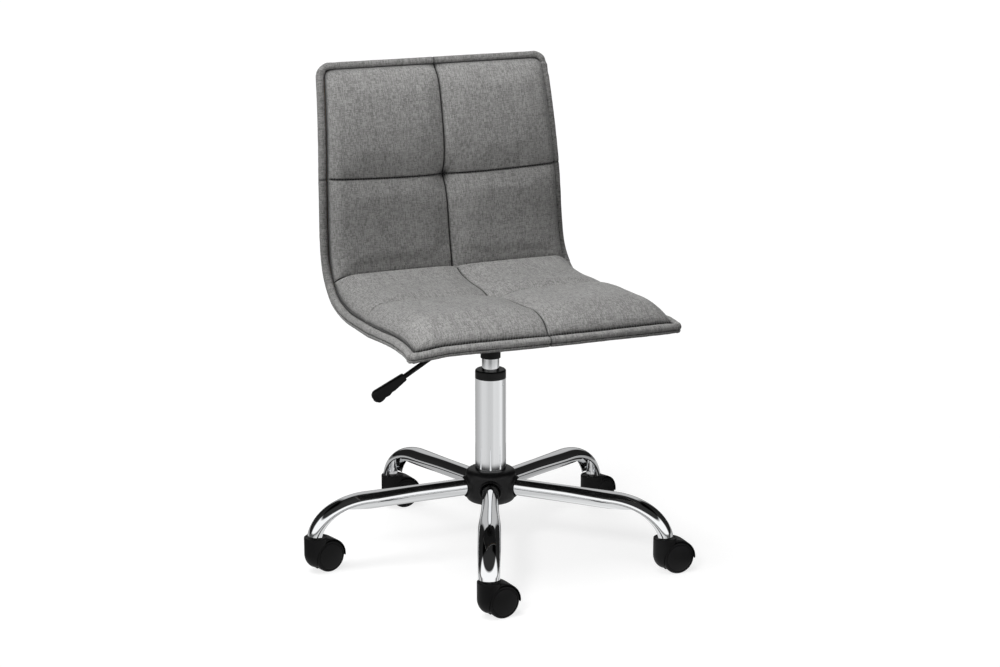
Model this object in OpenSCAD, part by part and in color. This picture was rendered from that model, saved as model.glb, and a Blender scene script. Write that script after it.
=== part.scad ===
// Armless swivel task chair: a quilted one-piece seat and back on a gas column
// and a five-leg chromed tube base with twin-wheel casters.
// Frame: +Z up, origin on the floor under the column, sitter faces -Y.

/* [Base] */
// Distance of each caster stem from the column axis
stem_reach = 294; // [270:1:320]
// Number of legs is fixed at five; the base is turned under the seat by this much
base_turn = 23.8; // [-36:0.1:36]
// Height of a leg tube's centre where it meets the hub
leg_root_z = 119.4; // [116:0.1:121]
// Diameter of a leg tube near the hub
leg_d = 28; // [24:0.5:30]
// Width of the flattened leg tube in its bend
leg_flare_w = 36; // [30:0.5:38]
// Wall of a leg tube
leg_wall = 1.5; // [1:0.1:2]
// Length and height of the quarter ellipse that a leg's centre line bends along
leg_bend_l = 89; // [80:1:96]
leg_bend_h = 62; // [58:1:66]
// Downward slope of a leg's straight stretch, in degrees
leg_fall = 2.2; // [1:0.1:3.5]
// Height of a leg's cut end above the floor
leg_end_z = 62; // [61:0.5:66]

/* [Hub] */
// Outer diameter of the steel hub that the legs are welded to
hub_d = 58; // [56:1:62]
// Top of the hub
hub_top_z = 144; // [140:0.5:150]
// Bottom of the hub
hub_bottom_z = 91; // [88:0.5:94]
// Outer diameter of the plastic hub shroud
shroud_d = 84; // [80:1:90]
// Wall of the plastic hub shroud
shroud_wall = 2.5; // [1.5:0.1:3]
// How far each arched eave of the shroud stands out over its leg
eave_reach = 8; // [4:0.5:10]

/* [Casters] */
// Diameter of a caster wheel
wheel_d = 52; // [46:1:53]
// Width over both wheels of a caster
caster_w = 39; // [36:0.5:42]
// Distance from a caster's stem to its axle, measured level
caster_trail = 18.5; // [16:0.5:22]
// Diameter of the round stem boss of a caster hood
boss_d = 37.5; // [34:0.5:40]
// Top of the caster hood above the floor
boss_top_z = 59; // [56:0.5:60]
// Diameter of a caster stem
stem_d = 11; // [10:0.1:11.5]
// Diameter of a caster axle
axle_d = 6; // [5:0.5:8]
// Directions in which the five casters trail, in degrees from +X, front leg first
caster_turns = [6, -2, 24, 6, 14];

/* [Column] */
// Outer diameter of the chromed column tube
column_d = 50; // [48:0.5:52]
// Wall of the column tube
column_wall = 1.8; // [1.5:0.1:2.5]
// Top of the column tube
column_top_z = 299; // [290:1:310]
// Height of the guide's cap above the column tube
cap_h = 14; // [10:0.5:18]
// Diameter of the gas cylinder
cylinder_d = 28; // [27:0.5:29]
// Diameter of the piston rod
piston_rod_d = 10; // [8:0.5:11]
// Height travel of the seat
lift_travel = 100; // [60:5:100]

/* [Seat mechanism] */
// Gap between the guide's cap and the taper socket when the seat is at its lowest
socket_gap = 19.5; // [15:0.5:25]
// Outer diameter of the taper socket
socket_d = 32.5; // [31:0.5:35]
// Width of the pressed steel seat plate
plate_w = 160; // [140:1:190]
// Length of the seat plate, front to back
plate_l = 146; // [130:1:150]
// Thickness of the seat plate's steel
plate_t = 2.5; // [2:0.1:3]
// Bolt spacing across and along the seat plate
bolt_pitch = [130, 110];
// Thread diameter of the seat bolts
bolt_d = 6; // [5:1:8]
// Height of the lever rod above the bottom of the taper socket
lever_rise = 48; // [46.5:0.5:51.5]
// Diameter of the lever rod
lever_d = 8; // [7:0.5:9]
// Downward slope of the lever outside the mechanism, in degrees
lever_fall = 30; // [20:1:35]
// Length of the lever's sloping stretch up to the handle
lever_reach = 124.5; // [110:0.5:150]
// Length of the lever's handle
handle_l = 62; // [55:1:75]
// Thickness of the lever's handle
handle_t = 10; // [9:0.5:14]

/* [Seat and back] */
// Height of the upholstered shell's middle surface above the lever rod, over the column
seat_rise = 25.5; // [23.5:0.5:27.5]
// Distance from the column axis to the middle of the front edge
front_reach = 232; // [220:1:245]
// Width of the seat at its front edge
front_w = 458; // [430:1:470]
// How far the sides draw in behind the front corners
corner_waist = 4; // [0:0.5:8]
// Width of the shell at the crease between seat and back
crease_w = 437; // [415:1:450]
// Width of the back at its cross seam
shoulder_w = 429; // [400:1:440]
// Width of the back at its top
top_w = 407; // [380:1:420]
// Length of the nose that turns down at the front
nose_l = 46; // [38:1:55]
// Length of the flat stretch that is bolted to the seat plate
flat_l = 228; // [220:1:240]
// Length of the stretch that rises towards the crease
rise_l = 84; // [74:1:94]
// Length of the bend between seat and back
bend_l = 108; // [98:1:120]
// Length of the lower back, which curves forward
lumbar_l = 60; // [50:1:70]
// Length of the upper back
upper_l = 247; // [215:1:275]
// Slope of the nose at the front edge, in degrees
nose_slope = 20; // [10:1:25]
// Slope of the flat stretch, falling to the rear, in degrees
flat_slope = -2.5; // [-4:0.1:0]
// Slope at the end of the rising stretch, in degrees
rise_slope = 12; // [6:1:16]
// Slope at the foot of the back, in degrees
back_foot_slope = 80; // [76:1:82]
// Slope at the top of the lumbar stretch, in degrees
lumbar_slope = 87; // [84:1:88]
// Slope at the top edge of the back, in degrees
top_slope = 73.5; // [70:0.5:84]
// How far the middle of the front edge bows ahead of its corners
front_bow = 6; // [0:0.5:12]

/* [Upholstery] */
// Width of the border band
band_w = 12; // [10:0.5:15]
// Thickness of the border band
band_t = 16; // [14:0.5:18]
// Thickness of the plywood shell
board_t = 10; // [8:0.5:12]
// Thickness of the rear and under covers
cover_t = 3; // [2:0.5:3]
// Height of the seat cushion's crown above the shell's middle surface
seat_crown = 40; // [30:1:46]
// Height of the back cushion's crown at its foot
back_foot_crown = 34; // [26:1:40]
// Height of the back cushion's crown at its top
back_top_crown = 24; // [18:1:30]
// Distance of the seat's cross seam from the front edge, along the shell
seat_seam_s = 228; // [190:1:250]
// Distance of the back's cross seam from the front edge, along the shell
back_seam_s = 580; // [540:1:620]
// Depth of the sewn seams in the back cushion
back_seam_depth = 10; // [6:0.5:14]
// Depth of the sewn seams in the seat cushion
seat_seam_depth = 8; // [5:0.5:12]
// Extra depth of the tuft where the seams cross
tuft_depth = 12; // [6:0.5:14]
// Distance over which a cushion's edge rolls over
edge_roll = 30; // [20:1:36]
// Radius of the top corners
top_corner_r = 22; // [18:1:28]
// Radius of the front corners
front_corner_r = 10; // [8:1:14]

/* [Hidden] */
$fn = 64;
// Clearances: running fit of shafts, seat of pressed parts, and soft or loose neighbours
fit_gap = 0.05;
seat_gap = 0.3;

// How far solids that are joined run into each other
lap = 1;

// Heights above the floor with the seat at its lowest
socket_bottom_z = column_top_z + cap_h + socket_gap;
lever_z = socket_bottom_z + lever_rise;
seat_z = lever_z + seat_rise;

leg_count = 5;
leg_turns = [for (k = [0:leg_count - 1]) k * 360 / leg_count - 90 - base_turn];

// Leg path in its own upright plane, as distance from the column axis and height: a straight
// stretch that runs on into a quarter ellipse about bend_c
bend_drop = 12;
bend_c = [stem_reach - leg_bend_l, leg_end_z - bend_drop];
bend_from = atan(tan(leg_fall) * leg_bend_l / leg_bend_h);
bend_to = acos((leg_end_z - bend_c[1]) / leg_bend_h);
function bend_at(a, grow) = bend_c + [(leg_bend_l + grow[0]) * sin(a), (leg_bend_h + grow[1]) * cos(a)];
function bend_slope(a) = -atan(tan(a) * leg_bend_h / leg_bend_l);
leg_root = [hub_d / 4, leg_root_z];
leg_straight = bend_at(bend_from, [0, 0]) - leg_root;

column_r = column_d / 2;
column_in_r = column_r - column_wall;
taper_top_z = hub_top_z + 2;
taper_bottom_z = hub_bottom_z - 2;
taper_drop = 0.7;
column_floor_t = 3;
bearing_t = 6;
bearing_r = 14;
collar_r = 9;
collar_t = 4;
bumper_t = 14.7;
guide_l = 70;
cylinder_r = cylinder_d / 2;
cylinder_wall = 1.5;
cylinder_bottom_z = taper_bottom_z + column_floor_t + bearing_t + collar_t + bumper_t + seat_gap;
pin_stand = 4.5;
cylinder_top_z = lever_z - lever_d / 2 - pin_stand;
socket_mouth_l = 3.5;
cylinder_taper_z = socket_bottom_z + socket_mouth_l;
cylinder_bore_top_z = cylinder_taper_z - 6;
cylinder_taper_drop = 0.8;
cylinder_proud = 1;
rod_r = piston_rod_d / 2;
seal_t = 12;
piston_t = 14;
piston_play = 5;
rod_end = 2;
rod_top_z = cylinder_bottom_z + lift_travel + seal_t + piston_play + piston_t + rod_end;
rod_foot = 5;
washer_t = 1.5;
clip_t = 1.5;
clip_z = taper_bottom_z - washer_t - clip_t;
clip_groove = 1;

pin_r = 4;
pin_play = 0.15;
pin_top_z = lever_z - lever_d / 2 - pin_play;
pin_bore_bottom_z = cylinder_taper_z + 8;
pin_bottom_z = pin_bore_bottom_z + 6;
pin_dome_r = 6;

// Seat plate in a frame that is tilted with the flat stretch of the shell
board_n = 2;
cover_gap = 0.2;
cover_n = -band_t / 2 - cover_gap;
cover_inset = 2;
under_inset = 14;
inner_corner_r = 2;
cushion_gap = 0.8;
nut_flange_t = 1.4;
nut_flange_r = 9;
nut_wall = 1.4;
nut_play = 0.1;
nut_inset = 1;
plate_top_n = cover_n - cover_t;
plate_mid_y = -33;
dish_w = 60;
dish_l = [-50, 40];
dish_depth = 30;

wheel_r = wheel_d / 2;
axle_r = axle_d / 2;
stem_r = stem_d / 2;
web_half = 3.5;
wheel_in = web_half + 0.7;
wheel_out = caster_w / 2;
axle_inset = 5;
fender_gap = 0.8;
fender_t = 2;
hood_half = 16.5;
boss_r = boss_d / 2;
stem_grip = 14;
stem_top_z = leg_end_z + stem_grip;
stem_bottom_z = wheel_d - 3;
socket_h = 33;
socket_top_r = 5.5;
socket_base_r = 9.2;
socket_lip_r = 9.6;
socket_lip_t = 4;

// Lever path in the plane y = 0: level stretch, bend, then the slope to the handle
pivot_x = -22;
lever_inner_x = 10;
lever_bend_x = -34;
lever_bend_r = 14;
lever_pin_r = 2;
lever_gap = 2.5;
ear_t = 2;
ear_in = lever_d / 2 + 0.5;
handle_grip = 31;

nodes_base = ["hub_socket", "base_leg_1", "base_leg_2", "base_leg_3", "base_leg_4",
    "base_leg_5", "stem_sockets", "hub_shroud"];
nodes_column = ["column_tube", "column_guide", "thrust_bearing", "piston_rod", "rubber_bumper",
    "piston", "rod_washer", "rod_clip", "gas_cylinder", "rod_seal", "release_pin"];
nodes_mechanism = ["seat_plate", "taper_socket", "lever_bracket", "lever_pin", "lever_rod",
    "lever_handle", "plate_bolts", "tee_nuts"];
nodes_seat = ["shell_board", "seat_cushion", "back_cushion", "seat_band", "back_band",
    "rear_cover", "under_cover"];
nodes_caster = [for (k = [1:leg_count]) for (n = ["caster_stem_", "caster_hood_", "caster_axle_",
    "wheel_near_", "wheel_far_"]) str(n, k)];

// Solid between two grids of points with the same rows and columns
module slab(top, bottom) {
    rows = len(top);
    cols = len(top[0]);
    total = rows * cols;
    points = concat([for (row = top) each row], [for (row = bottom) each row]);
    function at(i, j) = i * cols + j;
    faces = concat(
        [for (i = [0:rows - 2], j = [0:cols - 2]) [at(i, j), at(i + 1, j), at(i, j + 1)]],
        [for (i = [0:rows - 2], j = [0:cols - 2]) [at(i, j + 1), at(i + 1, j), at(i + 1, j + 1)]],
        [for (i = [0:rows - 2], j = [0:cols - 2])
            [total + at(i, j), total + at(i, j + 1), total + at(i + 1, j)]],
        [for (i = [0:rows - 2], j = [0:cols - 2])
            [total + at(i, j + 1), total + at(i + 1, j + 1), total + at(i + 1, j)]],
        [for (i = [0:rows - 2]) [at(i, 0), total + at(i, 0), at(i + 1, 0)]],
        [for (i = [0:rows - 2]) [at(i + 1, 0), total + at(i, 0), total + at(i + 1, 0)]],
        [for (i = [0:rows - 2]) [at(i, cols - 1), at(i + 1, cols - 1), total + at(i, cols - 1)]],
        [for (i = [0:rows - 2])
            [at(i + 1, cols - 1), total + at(i + 1, cols - 1), total + at(i, cols - 1)]],
        [for (j = [0:cols - 2]) [at(0, j), at(0, j + 1), total + at(0, j)]],
        [for (j = [0:cols - 2]) [at(0, j + 1), total + at(0, j + 1), total + at(0, j)]],
        [for (j = [0:cols - 2])
            [at(rows - 1, j), total + at(rows - 1, j), at(rows - 1, j + 1)]],
        [for (j = [0:cols - 2])
            [at(rows - 1, j + 1), total + at(rows - 1, j), total + at(rows - 1, j + 1)]]);
    polyhedron(points, faces);
}

// Solid through a row of closed rings with the same number of points
module loft(rings) {
    rows = len(rings);
    count = len(rings[0]);
    points = [for (ring = rings) each ring];
    faces = concat(
        [for (i = [0:rows - 2], j = [0:count - 1])
            [i * count + j, (i + 1) * count + j, i * count + (j + 1) % count]],
        [for (i = [0:rows - 2], j = [0:count - 1])
            [i * count + (j + 1) % count, (i + 1) * count + j, (i + 1) * count + (j + 1) % count]],
        [for (j = [1:count - 2]) [0, j, j + 1]],
        [for (j = [1:count - 2])
            [(rows - 1) * count, (rows - 1) * count + j + 1, (rows - 1) * count + j]]);
    polyhedron(points, faces);
}

// Tube wall between an outer and an inner row of rings that run the same way
module tube_loft(outer, inner) {
    rows = 2 * len(outer);
    count = len(outer[0]);
    points = [for (ring = concat(outer, [for (i = [len(inner) - 1:-1:0]) inner[i]])) each ring];
    function at(i, j) = (i % rows) * count + j % count;
    faces = concat(
        [for (i = [0:rows - 1], j = [0:count - 1]) [at(i, j), at(i + 1, j), at(i, j + 1)]],
        [for (i = [0:rows - 1], j = [0:count - 1]) [at(i, j + 1), at(i + 1, j), at(i + 1, j + 1)]]);
    polyhedron(points, faces);
}

// Rounded rectangle from squares and circles
module round_rect(w, l, r) {
    square([w - 2 * r, l], center = true);
    square([w, l - 2 * r], center = true);
    for (x = [-1, 1], y = [-1, 1])
        translate([x * (w / 2 - r), y * (l / 2 - r)]) circle(r);
}

module ring(r_out, r_in, h) {
    difference() {
        cylinder(r = r_out, h = h);
        translate([0, 0, -lap]) cylinder(r = r_in, h = h + 2 * lap);
    }
}

// Base: hub, legs, stem sockets and shroud
function leg_width(t) = leg_d + (leg_flare_w - leg_d) * (t < 0 ? 0 : t > 1 ? 1 : t * t * (3 - 2 * t));

// Stations along a leg: centre, heading of the tube and width, first straight, then bent
bend_steps = 8;
leg_stations = concat(
    [for (f = [0, 0.5, 0.66, 0.8, 0.92]) [leg_root + f * leg_straight, -leg_fall, leg_width(2 * f - 1)]],
    [for (i = [0:bend_steps]) let (a = bend_from + i * (bend_to - bend_from) / bend_steps)
        [bend_at(a, [0, 0]), bend_slope(a), leg_width(1) - (i > 4 ? (i - 4) * 0.5 : 0)]]);

// Rings of a leg's skin, drawn in from its outer surface by the given amount; the last
// ring is run on along the tube until it lies level at the leg's cut end
leg_sides = 20;
function leg_ring(st, shrink) = [for (j = [0:leg_sides - 1]) let (
    a = j * 360 / leg_sides,
    lateral = (st[2] / 2 - shrink) * cos(a),
    normal = (leg_d / 2 - shrink) * sin(a))
    [st[0][0] - normal * sin(st[1]), lateral, st[0][1] + normal * cos(st[1])]];
function level_ring(ring, slope) = [for (p = ring)
    p + [cos(slope), 0, sin(slope)] * (leg_end_z - p[2]) / sin(slope)];
function leg_rings(shrink) = [for (i = [0:len(leg_stations) - 1]) let (st = leg_stations[i])
    i < len(leg_stations) - 1 ? leg_ring(st, shrink) : level_ring(leg_ring(st, shrink), st[1])];

// The inner half of the bend is cut away along an ellipse, which leaves an open hood
module hood_cut() {
    cut_back = 104;
    cut_rise = 36;
    cut_in = [-5, 0];
    start = [stem_reach - cut_back, leg_end_z + cut_rise];
    under_z = leg_end_z - bend_drop - lap;
    rotate([90, 0, 0]) linear_extrude(2 * leg_flare_w, center = true) polygon(concat(
        [start, [start[0], under_z], [bend_at(90, cut_in)[0], under_z]],
        [for (a = [90:-9:27]) bend_at(a, cut_in)]));
}

module base_leg(k) {
    color("gainsboro") rotate([0, 0, leg_turns[k]]) difference() {
        tube_loft(leg_rings(0), leg_rings(leg_wall));
        cylinder(r = hub_d / 2, h = leg_root_z + leg_d);
        hood_cut();
    }
}

module hub_socket() {
    color("dimgray") difference() {
        translate([0, 0, hub_bottom_z]) cylinder(d = hub_d, h = hub_top_z - hub_bottom_z);
        translate([0, 0, taper_bottom_z]) cylinder(r1 = column_r - taper_drop + fit_gap,
            r2 = column_r + fit_gap, h = taper_top_z - taper_bottom_z);
    }
}

// Each caster stem runs in a lipped cone that is welded under the roof of the bend
module stem_sockets() {
    weld_gap = 0.1;
    base_rise = 1.5;
    color("gainsboro") for (turn = leg_turns) rotate([0, 0, turn]) difference() {
        union() {
            translate([stem_reach, 0, leg_end_z]) cylinder(r = socket_lip_r, h = socket_lip_t);
            intersection() {
                translate([stem_reach, 0, leg_end_z + base_rise])
                    cylinder(r1 = socket_base_r, r2 = socket_top_r, h = socket_h);
                loft(leg_rings(leg_wall + weld_gap));
            }
        }
        translate([stem_reach, 0, leg_end_z - lap])
            cylinder(r = stem_r + fit_gap, h = stem_grip + lap + 0.5);
    }
}

// Plastic shroud over the hub: a domed body with a sleeve round each leg
module hub_shroud() {
    out_r = shroud_d / 2;
    in_r = out_r - shroud_wall;
    shoulder_z = hub_top_z - 7;
    bottom_z = hub_bottom_z + 1.5;
    lip_z = hub_top_z + 5.5;
    lip_t = 2.4;
    tube_r = column_r + 0.2;
    clear_r = leg_d / 2 + 1.2;
    sleeve_r = clear_r + shroud_wall;
    sleeve_l = shroud_d / 2 + eave_reach + 10;
    side_in = 0.6;
    skirt_r = hub_d / 2 + 1;
    eave_r = out_r + eave_reach;
    dome = [for (a = [0:9:72]) [tube_r + lip_t + (out_r - tube_r - lip_t) * cos(a),
        shoulder_z + (lip_z - shoulder_z) * sin(a)]];
    color([0.09, 0.09, 0.1]) difference() {
        union() {
            rotate_extrude() polygon(concat(
                [[in_r, bottom_z], [out_r, bottom_z]],
                dome,
                [[tube_r, lip_z], [tube_r, hub_top_z + seat_gap],
                 [skirt_r, hub_top_z + seat_gap], [in_r, shoulder_z - lap]]));
            for (turn = leg_turns) rotate([0, 0, turn]) intersection() {
                union() {
                    translate([leg_root[0], 0, leg_root[1]]) rotate([0, 90 + leg_fall, 0])
                        cylinder(r = sleeve_r, h = sleeve_l);
                    translate([leg_root[0], side_in - sleeve_r, bottom_z - lap])
                        cube([sleeve_l, 2 * (sleeve_r - side_in), leg_root_z - bottom_z]);
                }
                rotate([90, 0, 0]) linear_extrude(3 * sleeve_r, center = true) polygon([
                    [in_r - lap, leg_root_z + 2 * clear_r], [eave_r, leg_root_z + 2 * clear_r],
                    [eave_r, leg_root_z + 10], [eave_r - 1.5, bottom_z + 9],
                    [eave_r - 4, bottom_z + 3], [out_r + 0.5, bottom_z + 0.5],
                    [in_r - lap, bottom_z + 0.5]]);
            }
        }
        for (turn = leg_turns) rotate([0, 0, turn]) {
            translate([leg_root[0], 0, leg_root[1]]) rotate([0, 90 + leg_fall, 0])
                cylinder(r = clear_r, h = sleeve_l + 2 * lap);
            translate([hub_d / 4, side_in - clear_r, hub_bottom_z - 2 * lap])
                cube([sleeve_l, 2 * (clear_r - side_in), leg_root_z - hub_bottom_z]);
        }
        translate([0, 0, hub_bottom_z - lap])
            cylinder(r = skirt_r, h = hub_top_z + seat_gap - hub_bottom_z + lap);
    }
}

// Column: tube, guide, bearing, piston rod and gas cylinder
module column_tube() {
    dent_turn = -60;
    dent_drop = 8;
    dent_r = 3;
    dent_depth = 0.6;
    color("gainsboro") difference() {
        union() {
            translate([0, 0, taper_top_z]) cylinder(r = column_r, h = column_top_z - taper_top_z);
            translate([0, 0, taper_bottom_z]) cylinder(r1 = column_r - taper_drop, r2 = column_r,
                h = taper_top_z - taper_bottom_z);
        }
        translate([0, 0, taper_bottom_z + column_floor_t])
            cylinder(r = column_in_r, h = column_top_z - taper_bottom_z);
        translate([0, 0, taper_bottom_z - lap]) cylinder(r = rod_r + 1, h = column_floor_t + 2 * lap);
        rotate([0, 0, dent_turn])
            translate([column_r + dent_r - dent_depth, 0, column_top_z - dent_drop]) sphere(r = dent_r);
    }
}

module column_guide() {
    cap_edge_r = 3;
    cap_top_z = column_top_z + cap_h;
    foot_z = column_top_z - guide_l;
    color([0.07, 0.07, 0.08]) rotate_extrude() polygon(concat(
        [[cylinder_r + fit_gap, foot_z], [column_in_r - fit_gap, foot_z],
         [column_in_r - fit_gap, column_top_z], [column_r, column_top_z]],
        [for (a = [0:15:90])
            [column_r - cap_edge_r + cap_edge_r * cos(a), cap_top_z - cap_edge_r + cap_edge_r * sin(a)]],
        [[cylinder_r + fit_gap, cap_top_z]]));
}

module thrust_bearing() {
    color("silver") translate([0, 0, taper_bottom_z + column_floor_t])
        ring(bearing_r, rod_r + fit_gap, bearing_t);
}

module piston_rod() {
    collar_z = taper_bottom_z + column_floor_t + bearing_t;
    color("silver") difference() {
        union() {
            translate([0, 0, taper_bottom_z - rod_foot])
                cylinder(r = rod_r, h = rod_top_z - taper_bottom_z + rod_foot);
            translate([0, 0, collar_z]) cylinder(r = collar_r, h = collar_t);
        }
        translate([0, 0, clip_z]) ring(rod_r + 2, rod_r - clip_groove, clip_t);
    }
}

module rubber_bumper() {
    color([0.1, 0.1, 0.1]) translate([0, 0, taper_bottom_z + column_floor_t + bearing_t + collar_t])
        ring(bearing_r, rod_r + fit_gap, bumper_t);
}

module piston() {
    color("goldenrod") translate([0, 0, rod_top_z - piston_t - rod_end])
        ring(cylinder_r - cylinder_wall - fit_gap, rod_r + fit_gap, piston_t);
}

module rod_washer() {
    color("silver") translate([0, 0, taper_bottom_z - washer_t])
        ring(collar_r + 1, rod_r + fit_gap, washer_t);
}

module rod_clip() {
    mouth = 1.4 * rod_r;
    color("dimgray") translate([0, 0, clip_z]) difference() {
        ring(rod_r + 2.5, rod_r - clip_groove + fit_gap, clip_t);
        translate([0, -mouth / 2, -lap]) cube([2 * rod_r, mouth, clip_t + 2 * lap]);
    }
}

module gas_cylinder() {
    color("gainsboro") difference() {
        union() {
            translate([0, 0, cylinder_bottom_z])
                cylinder(r = cylinder_r, h = cylinder_taper_z - cylinder_bottom_z);
            translate([0, 0, cylinder_taper_z]) cylinder(r1 = cylinder_r,
                r2 = cylinder_r - cylinder_taper_drop, h = cylinder_top_z - cylinder_taper_z);
        }
        translate([0, 0, cylinder_bottom_z - lap])
            cylinder(r = cylinder_r - cylinder_wall, h = cylinder_bore_top_z - cylinder_bottom_z + lap);
        translate([0, 0, pin_bore_bottom_z])
            cylinder(r = pin_r + fit_gap, h = cylinder_top_z - pin_bore_bottom_z + lap);
    }
}

module rod_seal() {
    color([0.12, 0.12, 0.12]) translate([0, 0, cylinder_bottom_z])
        ring(cylinder_r - cylinder_wall - fit_gap, rod_r + fit_gap, seal_t);
}

module release_pin() {
    color("silver") intersection() {
        translate([0, 0, pin_bottom_z]) cylinder(r = pin_r, h = pin_top_z - pin_bottom_z);
        union() {
            translate([0, 0, pin_top_z - pin_dome_r]) sphere(r = pin_dome_r);
            translate([0, 0, pin_bottom_z - 1]) cylinder(r = pin_r + 1, h = pin_top_z - pin_bottom_z - 2);
        }
    }
}

// Seat mechanism
module in_plate_frame() {
    translate([0, 0, seat_z]) rotate([flat_slope, 0, 0]) children();
}

module bolt_places() {
    for (x = [-1, 1], y = [-1, 1])
        translate([x * bolt_pitch[0] / 2, plate_mid_y + y * bolt_pitch[1] / 2, 0]) children();
}

module seat_plate() {
    dish_mid = (dish_l[0] + dish_l[1]) / 2;
    dish_len = dish_l[1] - dish_l[0];
    plate_corner_r = 12;
    dish_corner_r = 8;
    bolt_play = 0.6;
    color([0.13, 0.13, 0.13]) difference() {
        in_plate_frame() difference() {
            union() {
                translate([0, plate_mid_y, plate_top_n - plate_t])
                    linear_extrude(plate_t) round_rect(plate_w, plate_l, plate_corner_r);
                translate([0, dish_mid, plate_top_n - plate_t - dish_depth])
                    linear_extrude(dish_depth + lap) round_rect(dish_w, dish_len, dish_corner_r);
            }
            translate([0, dish_mid, plate_top_n - dish_depth]) linear_extrude(dish_depth + lap)
                round_rect(dish_w - 2 * plate_t, dish_len - 2 * plate_t, dish_corner_r - plate_t);
            bolt_places() translate([0, 0, plate_top_n - plate_t - lap])
                cylinder(d = bolt_d + bolt_play, h = plate_t + 2 * lap);
        }
        translate([0, 0, socket_bottom_z])
            cylinder(d = socket_d + 2 * fit_gap, h = cylinder_top_z - socket_bottom_z);
        translate([-dish_w, 0, lever_z]) rotate([0, 90, 0])
            cylinder(r = lever_d / 2 + lever_gap, h = dish_w);
    }
}

module taper_socket() {
    mouth_gap = 0.2;
    color([0.08, 0.08, 0.08]) difference() {
        translate([0, 0, socket_bottom_z])
            cylinder(d = socket_d, h = cylinder_top_z - cylinder_proud - socket_bottom_z);
        translate([0, 0, cylinder_taper_z]) cylinder(r1 = cylinder_r + fit_gap,
            r2 = cylinder_r - cylinder_taper_drop + fit_gap, h = cylinder_top_z - cylinder_taper_z);
        translate([0, 0, socket_bottom_z - lap])
            cylinder(r = cylinder_r + mouth_gap, h = socket_mouth_l + lap);
    }
}

// U bracket beside the socket: a foot on the dish floor and two ears for the lever's pin
module lever_bracket() {
    ear_w = 9;
    ear_over = 4;
    floor_n = plate_top_n - dish_depth;
    mid_y = (lever_z - seat_z) * tan(flat_slope);
    color([0.2, 0.2, 0.2]) difference() {
        in_plate_frame() translate([pivot_x - ear_w / 2, mid_y, floor_n]) {
            translate([0, -ear_in - ear_t, 0]) cube([ear_w, 2 * (ear_in + ear_t), ear_t]);
            for (side = [-1, 1]) translate([0, side > 0 ? ear_in : -ear_in - ear_t, 0])
                cube([ear_w, ear_t, lever_z + ear_over - seat_z - floor_n]);
        }
        translate([pivot_x, 0, lever_z]) rotate([90, 0, 0])
            cylinder(r = lever_pin_r + fit_gap, h = 4 * ear_in, center = true);
    }
}

module lever_pin() {
    pin_over = 1.5;
    color("silver") translate([pivot_x, 0, lever_z]) rotate([90, 0, 0])
        cylinder(r = lever_pin_r, h = 2 * (ear_in + ear_t + pin_over), center = true);
}

module lever_slope_frame() {
    translate([lever_bend_x, 0, lever_z - lever_bend_r]) rotate([0, -lever_fall, 0])
        translate([0, 0, lever_bend_r]) children();
}

module lever_rod() {
    bend_swell = 0.4;
    color([0.07, 0.07, 0.07]) difference() {
        union() {
            translate([lever_bend_x - lap, 0, lever_z]) rotate([0, 90, 0])
                cylinder(d = lever_d, h = lever_inner_x - lever_bend_x + lap);
            translate([lever_bend_x, 0, lever_z - lever_bend_r]) rotate([90, 0, 0]) rotate([0, 0, 90])
                rotate_extrude(angle = lever_fall) translate([lever_bend_r, 0])
                    circle(d = lever_d + bend_swell);
            lever_slope_frame() translate([lap, 0, 0]) rotate([0, -90, 0])
                cylinder(d = lever_d, h = lever_reach + handle_grip);
        }
        translate([pivot_x, 0, lever_z]) rotate([90, 0, 0])
            cylinder(r = lever_pin_r + fit_gap, h = 4 * ear_in, center = true);
    }
}

// Flat paddle with finger scallops along its lower edge, pushed over the rod's end
module lever_handle() {
    root_h = 13;
    tip_h = 23;
    chamfer = 1.5;
    toe = [9 - handle_l, tip_h / 2 - 10];
    heel = [10 - handle_l, 9 - tip_h / 2];
    knuckle = [26 - handle_l, 7.5 - tip_h / 2];
    scallops = [[18.5 - handle_l, -tip_h / 2 - 5, 5.5], [31 - handle_l, -tip_h / 2 - 3.5, 5],
        [-handle_l - 4.6, -chamfer, 5.5]];
    color([0.06, 0.06, 0.07]) lever_slope_frame() translate([-lever_reach, 0, 0]) difference() {
        rotate([90, 0, 0]) linear_extrude(handle_t, center = true) difference() {
            union() {
                polygon([[0, chamfer - root_h / 2], [0, root_h / 2 - chamfer], [-chamfer, root_h / 2],
                    [toe[0], tip_h / 2 - 1], [toe[0], 1 - tip_h / 2], [-chamfer, -root_h / 2]]);
                translate(toe) circle(r = 9);
                translate(heel) circle(r = 9.5);
                translate(knuckle) circle(r = 7);
            }
            for (hollow = scallops) translate([hollow[0], hollow[1]]) circle(r = hollow[2]);
        }
        translate([lap, 0, 0]) rotate([0, -90, 0])
            cylinder(r = lever_d / 2 + fit_gap, h = handle_grip + lap + 0.2);
    }
}

module plate_bolts() {
    head_h = 4;
    bolt_short = 1.5;
    grip = plate_t + cover_t + board_t - bolt_short;
    color("dimgray") in_plate_frame() bolt_places() translate([0, 0, plate_top_n - plate_t]) {
        cylinder(d = bolt_d, h = grip);
        translate([0, 0, -head_h]) difference() {
            cylinder(d = bolt_d * 1.7, h = head_h);
            translate([0, 0, -lap]) cylinder(d = bolt_d * 0.75, h = 3, $fn = 6);
        }
    }
}

module tee_nuts() {
    nut_h = board_t - nut_inset;
    color("silver") in_plate_frame() bolt_places() translate([0, 0, board_n - nut_h]) {
        ring(bolt_d / 2 + nut_wall, bolt_d / 2 + fit_gap, nut_h);
        translate([0, 0, nut_h - nut_flange_t]) ring(nut_flange_r, bolt_d / 2 + fit_gap, nut_flange_t);
    }
}

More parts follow.
